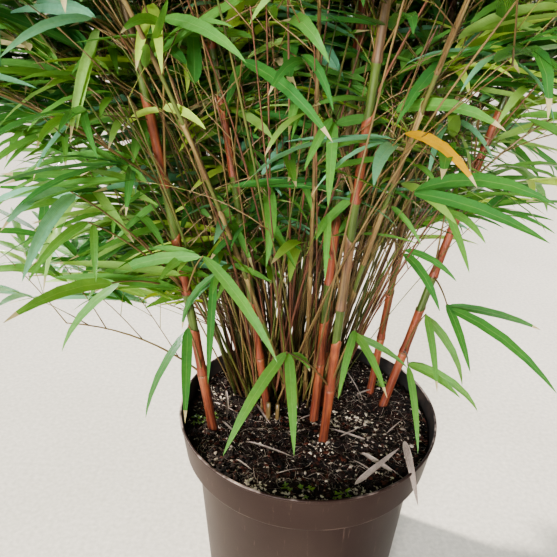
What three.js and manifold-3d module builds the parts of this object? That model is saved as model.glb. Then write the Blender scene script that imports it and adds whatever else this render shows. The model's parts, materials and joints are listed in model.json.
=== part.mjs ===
// A clump-forming bamboo in a plastic nursery pot, as separate closed solids in millimetres.
// +Z is up, the origin is the centre of the pot's flat underside, and -Y faces the viewer.
// A pot holds compost, canes rise from the compost in a fan, and each mass of leaves grows from
// the tip of one cane or from a joint on its side. Every mass keeps to the space nearer to its own
// stem than to any other stem.
import * as THREE from "three";
import { mergeVertices } from "three/addons/utils/BufferGeometryUtils.js";
import Module from "manifold-3d";

const wasm = await Module();
wasm.setup();

// The pot: a moulded tub with a deep collar under its rim, which stands out from the wall by a step
const POT_HEIGHT = 225;
const RIM_RADIUS = 140;
const COLLAR_HEIGHT = 44;
const COLLAR_FOOT_RADIUS = 134;
const COLLAR_STEP = 12;
const BASE_RADIUS = 110;
const BASE_EDGE = 3;
const RIM_LIP = 1;
const WALL = 2.6;
const FLOOR = 3.5;
const POT_SIDES = 36;
const DRAIN_HOLES = 6;
const DRAIN_RADIUS = 7;
const DRAIN_CIRCLE = 78;
const DRAIN_SIDES = 12;

// The compost fills the pot to just below its rim
const COMPOST_DROP = 16;
const FILL_LIP = 3;
const FILL_SLOPE = 8;
const GAP = 0.3;
const COMPOST_TOP = POT_HEIGHT - COMPOST_DROP;

// A cane thins to this share of its foot at its tip, and swells a little at each joint
const TIP_SHARE = 0.3;
const TAPER_POWER = 1.2;
const JOINT_SWELL = 1.16;
const JOINT_CROWDING = 0.8;
const JOINTS_CROWDED = 1.5;
const LAST_JOINT_CLEAR = 12;
const FOOT_FLARE = 1.08;
const FOOT_HEIGHT = 12;
const CANE_STEPS = 40;
// The share of a cane that stands clear of the leaves at its tip
const BARE_SHARE = 0.7;

// The stem of a mass at a cane's tip bends over a little more than the cane. A side branch is longer
// and steeper at each joint further up, and bends over under its leaves.
const TIP_DROOP = 8;
const TIP_STEM_STEPS = 5;
const TIP_STEM_FACETS = 4;
const SIDE_STEM_STEPS = 4;
const SIDE_LENGTH = 150;
const SIDE_LONGER = 14;
const SIDE_LEAN = 46;
const SIDE_STEEPER = 3;
const SIDE_ARCH = 42;
// How thick a mass's stem and twigs are, and how many facets a twig has
const TWIG_FACETS = 3;
const SIDE_STEM_RADIUS = 2.6;
const STEM_TIP_RADIUS = 1.8;
const TWIG_RADIUS = 0.9;
const TWIG_TIP_RADIUS = 1.3;

// A leaf's blade: its widest place along it, its thickness and the fold along its rib
const LEAF_WIDEST = 0.4;
const LEAF_THICKNESS = 0.016;
const LEAF_WIDTH = 0.145;
const LEAF_FOLD = 0.1;
// The rule of a mass. Twigs stand at even shares of its stem, round it by the golden angle or in
// two ranks. Each then varies by chance, and tries other turns and shorter lengths until it fits.
const GOLDEN_ANGLE = 137.5;
const TWIG_RULE = {
  first: 0.18, spaced: 0.8, shifted: 0.4, last: 0.94, rank: 38, rankMore: 20, leanMore: 22,
  shortest: 0.8, longer: 0.4, tries: 15, tryTurn: 24, tryShorter: 0.2, leastLeaves: 2,
};
// The rule of a twig's leaves: where they stand along it, how they splay, lean, droop and roll
const LEAF_RULE = {
  first: 0.64, spaced: 0.34, splay: 34, splayMore: 16, lean: 8, leanMore: 18, droop: 20, droopMore: 26,
  roll: 24, shortest: 0.84, longer: 0.28, tries: 7, tryTurn: 13, tryLift: 8,
};
// How far a leaf or twig is sunk into what carries it, and how far it keeps from everything else
const SUNK = 5;
const END_SUNK = 3;
const CLEARANCE = 1.2;
const CELL_MARGIN = 2.5;
// A twig and each stretch of a leaf are tested at this many even spots, past the ones at their root
const TWIG_SPOTS = 10;
const LEAF_SPOTS = 6;

// Main canes: foot on the compost, the way it leans, its lean at the foot, how much further it has
// leaned at its tip, its length and its foot's thickness. Angles are in degrees, with 0 along +X.
// Each entry of sides is a leafy side branch: the joint that it leaves, and the way it points.
const MAIN_CANES = [
  { name: "left", x: -102, y: -26, toward: 195, lean: 7.6, arch: 36, length: 960, thick: 9.2,
    sides: [[1, 196], [2, 240], [4, 168]] },
  { name: "rear_left", x: -68, y: 74, toward: 150, lean: 14, arch: 30, length: 980, thick: 8,
    sides: [[4, 190]] },
  { name: "mid_left", x: -44, y: 4, toward: 175, lean: 8, arch: 34, length: 1040, thick: 8,
    sides: [[1, 262], [4, 236]] },
  { name: "front", x: 16, y: -41, toward: 292, lean: 4.6, arch: 40, length: 990, thick: 8.9,
    sides: [[2, 304], [6, 238]] },
  { name: "centre", x: 8, y: -2, toward: 348, lean: 1.8, arch: 26, length: 1080, thick: 9,
    sides: [[4, 320]] },
  { name: "slim", x: 17, y: 22, toward: 50, lean: 1, arch: 24, length: 1050, thick: 6.5,
    sides: [] },
  { name: "right", x: 89, y: 25, toward: 9, lean: 12.4, arch: 32, length: 960, thick: 8.8,
    sides: [[1, 318], [3, 352], [5, 336]] },
  { name: "rear_right", x: 77, y: 50, toward: 28, lean: 5, arch: 36, length: 1010, thick: 8,
    sides: [[3, 24]] },
  { name: "back", x: -12, y: 86, toward: 98, lean: 9, arch: 34, length: 1000, thick: 7.6,
    sides: [[2, 118], [4, 84]] },
  { name: "back_right", x: 34, y: 92, toward: 64, lean: 12, arch: 32, length: 960, thick: 7.2,
    sides: [[2, 48]] },
];
const MAIN_JOINT_SPAN = 118;
const MAIN_FACETS = 6;
// How a limb bends over: its lean grows with this power of the way along it
const CANE_POWER = 3;
const STEM_POWER = 1.3;
// How a mass is filled: its number of twigs, the leaves on each, how far a twig leans and reaches,
// and how long a leaf is
const MAIN_LEAFY = { twigs: 5, leaves: 4, spread: 58, reach: 112, leaf: 146 };
const SIDE_LEAFY = { twigs: 4, leaves: 4, spread: 52, reach: 84, leaf: 140 };
const THIN_LEAFY = { twigs: 4, leaves: 4, spread: 58, reach: 96, leaf: 140 };

// Thin canes stand in a tight bundle behind the middle and fan out all round by one rule
const THIN_COUNT = 10;
const THIN_CENTRE = { x: 0, y: 46 };
const THIN_RING = 30;
const THIN_FIRST = 12;
const THIN_INNER = 0.45;
const THIN_THICK = 4.6;
const THIN_LEAN = 11;
const THIN_LEAN_MORE = 12;
const THIN_ARCH = 28;
const THIN_ARCH_MORE = 14;
const LONG_THIN = 790;
const SHORT_THIN = 560;
const THIN_VARIES = 0.16;
const THIN_TRIES = 12;
const THIN_TRY_TURN = 7;
const THIN_JOINT_SPAN = 96;
const THIN_FACETS = 5;

const UP = new THREE.Vector3(0, 0, 1);
const radians = THREE.MathUtils.degToRad;

// A number from 0 to 1 that always comes out the same for the same keys: what is left after the point
// of a large multiple of a sine of the last number and the next key
const HASH = { last: 12.9898, key: 78.233, scale: 43758.5453 };

function chance(...keys) {
  return keys.reduce((last, key) => {
    const wave = Math.sin(last * HASH.last + key * HASH.key) * HASH.scale;
    return wave - Math.floor(wave);
  }, 0.5);
}

// The direction that leans by so many degrees from upright towards a compass angle
function heading(toward, lean) {
  const across = Math.sin(radians(lean));
  return new THREE.Vector3(
    Math.cos(radians(toward)) * across,
    Math.sin(radians(toward)) * across,
    Math.cos(radians(lean)),
  );
}

// A limb's centre line. It stays in one upright plane, and its lean grows with a power of the way
// along it. Points are evenly spaced.
function sweep(start, toward, lean, arch, length, steps, power) {
  const points = [start.clone()];
  for (let i = 0; i < steps; i++) {
    const middle = heading(toward, lean + arch * ((i + 0.5) / steps) ** power);
    points.push(points[i].clone().addScaledVector(middle, length / steps));
  }
  const side = new THREE.Vector3(-Math.sin(radians(toward)), Math.cos(radians(toward)), 0);
  return { points, side, toward, lean, arch, power };
}

function along(limb, t) {
  const last = limb.points.length - 1;
  const place = Math.min(Math.max(t, 0), 1) * last;
  const i = Math.min(Math.floor(place), last - 1);
  return limb.points[i].clone().lerp(limb.points[i + 1], place - i);
}

function wayAlong(limb, t) {
  return heading(limb.toward, limb.lean + limb.arch * Math.min(Math.max(t, 0), 1) ** limb.power);
}

// A limb's radius at each of its points, which thins evenly from one value to another
function taper(limb, first, last) {
  const count = limb.points.length - 1;
  return limb.points.map((_, i) => [i / count, first + ((last - first) * i) / count]);
}

// A closed tapering tube round a limb: a polygon is drawn out into a prism whose rings are moved to
// the stations, each a share of the limb's length with a radius. A level foot is cut flat, parallel
// to the ground.
function tube(limb, stations, sides, levelFoot = false) {
  const rings = stations.length - 1;
  const corners = Array.from({ length: sides }, (_, i) => {
    const angle = (i / sides) * 2 * Math.PI;
    return new THREE.Vector2(Math.cos(angle), Math.sin(angle));
  });
  const prism = { depth: 1, steps: rings, bevelEnabled: false };
  const geometry = new THREE.ExtrudeGeometry(new THREE.Shape(corners), prism);
  const position = geometry.getAttribute("position");
  for (let i = 0; i < position.count; i++) {
    const ring = Math.round(position.getZ(i) * rings);
    const [t, radius] = stations[ring];
    const way = ring === 0 && levelFoot ? UP.clone() : wayAlong(limb, t);
    const out = new THREE.Vector3().crossVectors(limb.side, way);
    const place = along(limb, t)
      .addScaledVector(out, position.getX(i) * radius)
      .addScaledVector(limb.side, position.getY(i) * radius);
    position.setXYZ(i, place.x, place.y, place.z);
  }
  return geometry;
}

// A leaf blade of eight faces: an octahedron drawn out from root to tip, folded along its rib and
// bent over where it is widest. It returns its corners, so that its place can be tested first.
function leafCorners(root, toward, lean, droop, length, width, roll) {
  const first = heading(toward, lean);
  const second = heading(toward, lean + droop);
  const level = new THREE.Vector3(-Math.sin(radians(toward)), Math.cos(radians(toward)), 0);
  const side = level.applyAxisAngle(first, radians(roll));
  const face = new THREE.Vector3().crossVectors(first, side).negate();
  const middle = root.clone().addScaledVector(first, length * LEAF_WIDEST);
  const tip = middle.clone().addScaledVector(second, length * (1 - LEAF_WIDEST));
  const fold = face.clone().multiplyScalar(-width * LEAF_FOLD);
  const thick = face.clone().multiplyScalar((length * LEAF_THICKNESS) / 2);
  return {
    root,
    tip,
    middle,
    left: middle.clone().addScaledVector(side, width / 2).add(fold),
    right: middle.clone().addScaledVector(side, -width / 2).add(fold),
    over: middle.clone().add(thick),
    under: middle.clone().sub(thick),
  };
}

function leafBlade(corners) {
  const geometry = new THREE.OctahedronGeometry(1);
  const position = geometry.getAttribute("position");
  for (let i = 0; i < position.count; i++) {
    const [x, y, z] = [position.getX(i), position.getY(i), position.getZ(i)];
    const sideways = x > 0.5 ? corners.left : corners.right;
    const lengthways = y > 0.5 ? corners.tip : corners.root;
    const facing = z > 0.5 ? corners.over : corners.under;
    const place = Math.abs(x) > 0.5 ? sideways : Math.abs(y) > 0.5 ? lengthways : facing;
    position.setXYZ(i, place.x, place.y, place.z);
  }
  return geometry;
}

// three.js geometry to a solid that can be cut and joined, turned the right way out
function solidOf(geometry) {
  const bare = new THREE.BufferGeometry();
  bare.setAttribute("position", geometry.getAttribute("position"));
  if (geometry.index) bare.setIndex(geometry.index);
  const merged = mergeVertices(bare, 1e-4);
  const vertProperties = new Float32Array(merged.getAttribute("position").array);
  const triVerts = new Uint32Array(merged.index.array);
  const made = new wasm.Manifold(new wasm.Mesh({ numProp: 3, vertProperties, triVerts }));
  if (made.volume() > 0) return made;
  const outwards = triVerts.slice();
  for (let i = 0; i < outwards.length; i += 3) {
    outwards[i + 1] = triVerts[i + 2];
    outwards[i + 2] = triVerts[i + 1];
  }
  return new wasm.Manifold(new wasm.Mesh({ numProp: 3, vertProperties, triVerts: outwards }));
}

function geometryOf(solid) {
  const mesh = solid.getMesh();
  const corners = new Float32Array(mesh.numVert * 3);
  for (let i = 0; i < mesh.numVert; i++) {
    corners.set(mesh.vertProperties.subarray(i * mesh.numProp, i * mesh.numProp + 3), i * 3);
  }
  const geometry = new THREE.BufferGeometry();
  geometry.setAttribute("position", new THREE.BufferAttribute(corners, 3));
  geometry.setIndex(new THREE.BufferAttribute(new Uint32Array(mesh.triVerts), 1));
  return geometry;
}

// A lathe turned about the upright axis, from a closed profile of radius and height
function turned(profile) {
  const lathe = new THREE.LatheGeometry(profile.map(([r, z]) => new THREE.Vector2(r, z)), POT_SIDES);
  return solidOf(lathe.rotateX(Math.PI / 2));
}

function potSolid() {
  const collarFoot = POT_HEIGHT - COLLAR_HEIGHT;
  const wallTop = COLLAR_FOOT_RADIUS - COLLAR_STEP;
  const tub = turned([
    [0, 0],
    [BASE_RADIUS - BASE_EDGE, 0],
    [BASE_RADIUS, BASE_EDGE],
    [wallTop, collarFoot],
    [COLLAR_FOOT_RADIUS, collarFoot],
    [RIM_RADIUS - RIM_LIP, POT_HEIGHT - BASE_EDGE],
    [RIM_RADIUS, POT_HEIGHT - BASE_EDGE],
    [RIM_RADIUS, POT_HEIGHT],
    [RIM_RADIUS - WALL, POT_HEIGHT],
    [innerCollarRadius(collarFoot + WALL), collarFoot + WALL],
    [wallTop - WALL, collarFoot + WALL],
    [BASE_RADIUS - WALL, FLOOR],
    [0, FLOOR],
    [0, 0],
  ]);
  const drill = new THREE.CylinderGeometry(DRAIN_RADIUS, DRAIN_RADIUS, 4 * FLOOR, DRAIN_SIDES);
  const holes = [];
  for (let i = 0; i < DRAIN_HOLES; i++) {
    const angle = (i / DRAIN_HOLES) * 2 * Math.PI;
    const hole = drill.clone().rotateX(Math.PI / 2);
    hole.translate(DRAIN_CIRCLE * Math.cos(angle), DRAIN_CIRCLE * Math.sin(angle), 0);
    holes.push(solidOf(hole));
  }
  return tub.subtract(wasm.Manifold.union(holes));
}

// The pot's inner radius at a height above the foot of its collar
function innerCollarRadius(height) {
  const share = (height - (POT_HEIGHT - COLLAR_HEIGHT)) / COLLAR_HEIGHT;
  return COLLAR_FOOT_RADIUS - WALL + share * (RIM_RADIUS - COLLAR_FOOT_RADIUS);
}

function compostSolid() {
  const ledge = POT_HEIGHT - COLLAR_HEIGHT + WALL + GAP;
  return turned([
    [0, FLOOR + GAP],
    [BASE_RADIUS - WALL - 2 * GAP, FLOOR + GAP],
    [COLLAR_FOOT_RADIUS - COLLAR_STEP - WALL - 2 * GAP, ledge],
    [innerCollarRadius(ledge) - 2 * GAP, ledge],
    [innerCollarRadius(COMPOST_TOP - FILL_LIP) - 2 * GAP, COMPOST_TOP - FILL_LIP],
    [innerCollarRadius(COMPOST_TOP - FILL_LIP) - FILL_SLOPE, COMPOST_TOP],
    [0, COMPOST_TOP],
    [0, FLOOR + GAP],
  ]);
}

// Distance along a cane of its joints, which crowd together near the foot
function jointPlace(span, k) {
  return span * (k - JOINT_CROWDING * (1 - Math.exp(-k / JOINTS_CROWDED)));
}

// A cane's radius at a distance from its foot, without its joints
function caneRadius(cane, s) {
  const share = 1 - (1 - TIP_SHARE) * (s / cane.length) ** TAPER_POWER;
  const flare = s < FOOT_HEIGHT ? FOOT_FLARE - (FOOT_FLARE - 1) * (s / FOOT_HEIGHT) : 1;
  return (cane.thick / 2) * share * flare;
}

// A cane's solid, with the line of its bare part, up to where the leaves at its tip take over
function growCane(cane) {
  const foot = new THREE.Vector3(cane.x, cane.y, COMPOST_TOP + GAP);
  const path = sweep(foot, cane.toward, cane.lean, cane.arch, cane.length, CANE_STEPS, CANE_POWER);
  const bare = cane.length * BARE_SHARE;
  const stations = [[0, caneRadius(cane, 0)], [FOOT_HEIGHT / cane.length, caneRadius(cane, FOOT_HEIGHT)]];
  for (let k = 1; jointPlace(cane.span, k) < bare - LAST_JOINT_CLEAR; k++) {
    const s = jointPlace(cane.span, k);
    stations.push([s / cane.length, caneRadius(cane, s) * JOINT_SWELL]);
  }
  stations.push([BARE_SHARE, caneRadius(cane, bare)]);
  const bareLine = { points: stations.map(([t]) => along(path, t)) };
  return { ...cane, path, stations, bareLine, solid: solidOf(tube(path, stations, cane.facets, true)) };
}

// The space that a cane takes up, with a gap all round it
function caneRoom(cane) {
  const wider = cane.stations.map(([t, radius]) => [t, radius + GAP]);
  return solidOf(tube(cane.path, wider, cane.facets, true));
}

function thinCane(i, attempt) {
  const toward = THIN_FIRST + (360 / THIN_COUNT) * i + THIN_TRY_TURN * sideToSide(attempt);
  const out = THIN_RING * (THIN_INNER + (1 - THIN_INNER) * chance(i, 1, attempt));
  return {
    name: `thin_${i + 1}`,
    x: THIN_CENTRE.x + out * Math.cos(radians(toward)),
    y: THIN_CENTRE.y + out * Math.sin(radians(toward)),
    toward,
    lean: THIN_LEAN + THIN_LEAN_MORE * chance(i, 2),
    arch: THIN_ARCH + THIN_ARCH_MORE * chance(i, 3),
    length: (i % 2 ? SHORT_THIN : LONG_THIN) * (1 + THIN_VARIES * (chance(i, 4) - 0.5)),
    thick: THIN_THICK,
    span: THIN_JOINT_SPAN,
    facets: THIN_FACETS,
    sides: [],
  };
}

// A thin cane that would touch one that already stands is turned a little, until it stands clear
function growThinCanes(standing) {
  const grown = [];
  for (let i = 0; i < THIN_COUNT; i++) {
    for (let attempt = 0; attempt < THIN_TRIES; attempt++) {
      const cane = growCane(thinCane(i, attempt));
      const line = cane.path.points.slice(0, Math.ceil(BARE_SHARE * CANE_STEPS) + 1);
      if (!clearOfCanes(line, cane.thick / 2, [...standing, ...grown])) continue;
      grown.push(cane);
      break;
    }
  }
  return grown;
}

// The stem that a mass at a cane's tip grows on, which carries the cane's own line on
function tipMass(cane, leafy) {
  const start = along(cane.path, BARE_SHARE);
  const way = wayAlong(cane.path, BARE_SHARE);
  const bent = cane.arch * BARE_SHARE ** CANE_POWER;
  const stem = sweep(
    start.addScaledVector(way, GAP), cane.toward, cane.lean + bent, cane.arch - bent + TIP_DROOP,
    cane.length * (1 - BARE_SHARE), TIP_STEM_STEPS, STEM_POWER,
  );
  const radius = caneRadius(cane, cane.length * BARE_SHARE);
  return { name: `foliage_${cane.name}_tip`, stem, leafy, radius, facets: TIP_STEM_FACETS, tip: true };
}

// The stem of a side branch. It starts on the cane's line at a joint and is cut clear of the cane.
function sideMass(cane, joint, toward, leafy) {
  const s = jointPlace(cane.span, joint);
  const start = along(cane.path, s / cane.length);
  const length = SIDE_LENGTH + SIDE_LONGER * joint;
  const lean = SIDE_LEAN - SIDE_STEEPER * joint;
  const stem = sweep(start, toward, lean, SIDE_ARCH, length, SIDE_STEM_STEPS, STEM_POWER);
  const name = `foliage_${cane.name}_side_${joint}`;
  const room = caneRoom(cane);
  return { name, stem, leafy, radius: SIDE_STEM_RADIUS, facets: TWIG_FACETS, tip: false, room };
}

function segmentDistance(point, a, b) {
  const line = new THREE.Line3(a, b);
  return line.closestPointToPoint(point, true, new THREE.Vector3()).distanceTo(point);
}

function distanceToLimb(point, limb) {
  let least = Infinity;
  for (let i = 0; i < limb.points.length - 1; i++) {
    least = Math.min(least, segmentDistance(point, limb.points[i], limb.points[i + 1]));
  }
  return least;
}

// True where a point lies nearer to its own mass's stem than to any other, by the margin
function inOwnSpace(point, mass, masses) {
  const own = distanceToLimb(point, mass.stem);
  return masses.every((other) => other === mass || distanceToLimb(point, other.stem) > own + CELL_MARGIN);
}

function clearOfPot(point) {
  const out = Math.hypot(point.x, point.y);
  if (point.z < 2 * CLEARANCE) return false;
  if (point.z > POT_HEIGHT + CLEARANCE || out > RIM_RADIUS + CLEARANCE) return true;
  return point.z > COMPOST_TOP + 2 * CLEARANCE && out < innerCollarRadius(COMPOST_TOP) - 2 * CLEARANCE;
}

// True where a ball round each point of a line touches no cane
function clearOfCanes(line, radius, canes) {
  return canes.every((cane) =>
    line.every((point) => distanceToLimb(point, cane.bareLine) > radius + cane.thick / 2 + CLEARANCE),
  );
}

function spots(a, b, count) {
  return Array.from({ length: count + 1 }, (_, i) => a.clone().lerp(b, i / count));
}

function leafFits(corners, mass, masses, canes) {
  const half = corners.left.distanceTo(corners.right) / 2;
  const line = (by) => [...spots(corners.root, by, LEAF_SPOTS).slice(1), ...spots(by, corners.tip, LEAF_SPOTS)];
  const edges = [...line(corners.left), ...line(corners.right)];
  const fits = edges.every((p) => clearOfPot(p) && inOwnSpace(p, mass, masses));
  return fits && clearOfCanes(line(corners.middle), half, canes);
}

function twigFits(twig, mass, masses, canes) {
  const far = spots(twig.points[0], twig.points[1], TWIG_SPOTS).slice(2);
  const fits = far.every((p) => clearOfPot(p) && inOwnSpace(p, mass, masses));
  return fits && clearOfCanes(far, TWIG_TIP_RADIUS, canes);
}

// 0, 1, -1, 2, -2 and so on, for trying places first to one side and then to the other
function sideToSide(attempt) {
  return Math.ceil(attempt / 2) * (attempt % 2 ? 1 : -1);
}

// The leaves of one twig: they stand in two ranks near its end, and the last one carries it on.
// A leaf that would leave the mass's space or touch a cane is turned, and then left out.
function growLeaves(twig, keys, mass, masses, canes) {
  const { leaves, leaf } = mass.leafy;
  const rule = LEAF_RULE;
  const grown = [];
  for (let j = 0; j < leaves; j++) {
    const rank = j === leaves - 1 ? 0 : j % 2 ? 1 : -1;
    const t = rank === 0 ? 1 : rule.first + (rule.spaced * (j + 1)) / leaves;
    const sunk = rank === 0 ? END_SUNK : SUNK;
    const root = along(twig, t).addScaledVector(wayAlong(twig, t), -sunk);
    const length = leaf * (rule.shortest + rule.longer * chance(...keys, j, 1));
    const splay = rank * (rule.splay + rule.splayMore * chance(...keys, j, 2));
    const sag = rule.lean + rule.leanMore * chance(...keys, j, 3);
    const droop = rule.droop + rule.droopMore * chance(...keys, j, 4);
    const roll = rule.roll * (chance(...keys, j, 5) - 0.5);
    for (let attempt = 0; attempt < rule.tries; attempt++) {
      const toward = twig.toward + splay + rule.tryTurn * sideToSide(attempt);
      const lean = twig.lean + sag - rule.tryLift * (attempt % 3);
      const corners = leafCorners(root, toward, lean, droop, length + sunk, length * LEAF_WIDTH, roll);
      if (!leafFits(corners, mass, masses, canes)) continue;
      grown.push(corners);
      break;
    }
  }
  return grown;
}

// The twig that a mass's rule gives, or the nearest turn of it that holds the most leaves.
// At a cane's tip the twigs stand round by the golden angle, and on a side branch in two ranks.
function growTwig(k, seed, mass, masses, canes) {
  const { twigs, leaves, spread, reach } = mass.leafy;
  const rule = TWIG_RULE;
  const place = rule.first + (rule.spaced * (k + rule.shifted * chance(seed, k, 1))) / (twigs - 1);
  const start = along(mass.stem, Math.min(place, rule.last));
  const rank = (k % 2 ? 1 : -1) * (rule.rank + rule.rankMore * chance(seed, k, 2));
  const turn = mass.tip ? GOLDEN_ANGLE * k : rank;
  const lean = spread + rule.leanMore * chance(seed, k, 3);
  const length = reach * (rule.shortest + rule.longer * chance(seed, k, 4));
  let best = { blades: [] };
  for (let attempt = 0; attempt < rule.tries && best.blades.length < leaves; attempt++) {
    const toward = mass.stem.toward + turn + rule.tryTurn * sideToSide(attempt);
    const twig = sweep(start, toward, lean, 0, length * (1 - rule.tryShorter * (attempt % 4)), 1, 1);
    if (!twigFits(twig, mass, masses, canes)) continue;
    const blades = growLeaves(twig, [seed, k], mass, masses, canes);
    if (blades.length > best.blades.length) best = { twig, blades };
  }
  return best;
}

// Joins a piece on, unless it would meet the mass in more than one place or in none, or seal a hollow
function joined(whole, geometry) {
  const sum = whole.add(solidOf(geometry));
  return sum.genus() === 0 && sum.decompose().length === 1 ? sum : whole;
}

function growMass(mass, seed, masses, canes) {
  const stemTube = tube(mass.stem, taper(mass.stem, mass.radius, STEM_TIP_RADIUS), mass.facets);
  let whole = mass.tip ? solidOf(stemTube) : solidOf(stemTube).subtract(mass.room);
  for (let k = 0; k < mass.leafy.twigs; k++) {
    const { twig, blades } = growTwig(k, seed, mass, masses, canes);
    if (blades.length < TWIG_RULE.leastLeaves) continue;
    const withTwig = joined(whole, tube(twig, taper(twig, TWIG_RADIUS, TWIG_TIP_RADIUS), TWIG_FACETS));
    if (withTwig === whole) continue;
    whole = blades.reduce((sum, corners) => joined(sum, leafBlade(corners)), withTwig);
  }
  return whole;
}

function material(hex, roughness) {
  return new THREE.MeshStandardMaterial({ color: hex, roughness, metalness: 0 });
}

const LOOKS = {
  pot: material(0x5c483e, 0.55),
  compost: material(0x2b201b, 0.95),
  mainCane: material(0xb0623f, 0.5),
  thinCane: material(0x7c6a38, 0.55),
  leaf: material(0x4c8a34, 0.45),
};

const bamboo = new THREE.Group();

function addNode(name, solid, look) {
  const mesh = new THREE.Mesh(geometryOf(solid), look);
  mesh.name = name;
  bamboo.add(mesh);
}

addNode("pot", potSolid(), LOOKS.pot);
addNode("compost", compostSolid(), LOOKS.compost);

const mainCanes = MAIN_CANES.map((cane) => growCane({ ...cane, span: MAIN_JOINT_SPAN, facets: MAIN_FACETS }));
const thinCanes = growThinCanes(mainCanes);
const canes = [...mainCanes, ...thinCanes];
for (const cane of mainCanes) addNode(`cane_${cane.name}`, cane.solid, LOOKS.mainCane);
for (const cane of thinCanes) addNode(`cane_${cane.name}`, cane.solid, LOOKS.thinCane);

const sideMasses = (cane) => cane.sides.map(([joint, toward]) => sideMass(cane, joint, toward, SIDE_LEAFY));
const masses = [
  ...mainCanes.map((cane) => tipMass(cane, MAIN_LEAFY)),
  ...thinCanes.map((cane) => tipMass(cane, THIN_LEAFY)),
  ...mainCanes.flatMap(sideMasses),
];
masses.forEach((mass, seed) => {
  addNode(mass.name, growMass(mass, seed, masses, canes), LOOKS.leaf);
});

export default bamboo;
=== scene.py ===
# The looks of a clump-forming bamboo in a plastic nursery pot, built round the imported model.
# The growth rules and sizes of the model's source are written again here, in its millimetres.
# +Z is up, the origin is the centre of the pot's flat underside, and -Y faces the viewer.
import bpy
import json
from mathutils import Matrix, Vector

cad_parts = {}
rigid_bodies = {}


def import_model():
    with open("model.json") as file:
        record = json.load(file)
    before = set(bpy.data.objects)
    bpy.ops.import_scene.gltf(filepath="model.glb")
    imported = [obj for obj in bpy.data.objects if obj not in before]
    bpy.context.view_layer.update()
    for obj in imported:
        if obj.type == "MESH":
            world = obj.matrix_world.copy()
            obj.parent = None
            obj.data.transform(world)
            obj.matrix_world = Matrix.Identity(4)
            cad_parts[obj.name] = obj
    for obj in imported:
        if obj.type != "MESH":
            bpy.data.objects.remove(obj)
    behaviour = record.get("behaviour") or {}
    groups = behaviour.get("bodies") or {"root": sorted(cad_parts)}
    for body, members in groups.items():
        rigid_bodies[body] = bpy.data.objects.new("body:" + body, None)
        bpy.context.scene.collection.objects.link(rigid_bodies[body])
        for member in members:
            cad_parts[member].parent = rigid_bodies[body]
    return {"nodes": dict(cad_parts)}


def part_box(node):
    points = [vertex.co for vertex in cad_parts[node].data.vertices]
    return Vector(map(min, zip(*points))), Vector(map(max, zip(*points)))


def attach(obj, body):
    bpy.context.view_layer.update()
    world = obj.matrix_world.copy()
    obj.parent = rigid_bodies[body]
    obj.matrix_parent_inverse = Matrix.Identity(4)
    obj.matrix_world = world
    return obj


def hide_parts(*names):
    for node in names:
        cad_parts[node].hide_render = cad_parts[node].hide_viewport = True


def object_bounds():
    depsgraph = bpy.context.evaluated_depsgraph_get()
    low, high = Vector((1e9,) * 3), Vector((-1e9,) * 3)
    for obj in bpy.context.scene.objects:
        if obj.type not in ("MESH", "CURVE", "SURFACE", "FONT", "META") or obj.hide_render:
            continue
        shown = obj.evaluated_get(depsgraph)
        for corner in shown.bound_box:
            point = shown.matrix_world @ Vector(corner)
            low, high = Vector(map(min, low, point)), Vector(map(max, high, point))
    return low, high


bl_info = {
    "name": "Potted bamboo",
    "version": (1, 0, 0),
    "blender": (4, 5, 0),
    "location": "View3D > Sidebar > Bamboo",
    "description": "Builds a clump-forming bamboo in a nursery pot, piece by piece",
    "category": "Add Mesh",
}

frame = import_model()

import json
import math

import bpy
import numpy as np
from bpy.props import FloatProperty, FloatVectorProperty, IntProperty, PointerProperty
from bpy.types import Operator, Panel, PropertyGroup, Scene
from mathutils import Matrix, Vector

MM = 0.001
BODY = "root"
CAD_BOX = [[round(value, 6) for value in corner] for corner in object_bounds()]
_, POT_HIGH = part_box("pot")

# The pot's wall, as in the source
COLLAR_HEIGHT = 44
COLLAR_FOOT_RADIUS = 134
COLLAR_STEP = 12
BASE_RADIUS = 110
BASE_EDGE = 3
RIM_LIP = 1
WALL = 2.6
FLOOR = 3.5
DRAIN_HOLES = 6
DRAIN_RADIUS = 7
DRAIN_CIRCLE = 78
COMPOST_DROP = 16
FILL_LIP = 3
FILL_SLOPE = 8
GAP = 0.3

# The canes and how they taper, joint and bend, as in the source
TIP_SHARE = 0.3
TAPER_POWER = 1.2
JOINT_CROWDING = 0.8
JOINTS_CROWDED = 1.5
FOOT_FLARE = 1.08
FOOT_HEIGHT = 12
CANE_STEPS = 40
BARE_SHARE = 0.7
CANE_POWER = 3
STEM_POWER = 1.3
TIP_DROOP = 8
TIP_STEM_STEPS = 15
SIDE_STEM_STEPS = 10
SIDE_LENGTH = 150
SIDE_LONGER = 14
SIDE_LEAN = 46
SIDE_STEEPER = 3
SIDE_ARCH = 42
SIDE_STEM_RADIUS = 1.1
GOLDEN_ANGLE = 137.5
CLEARANCE = 1.2
# The most joints of a cane, how close to its tip the last may be, and how far apart two points are that
# give its direction
MOST_JOINTS = 24
LAST_JOINT = 30
NEAR = 4.0

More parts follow.
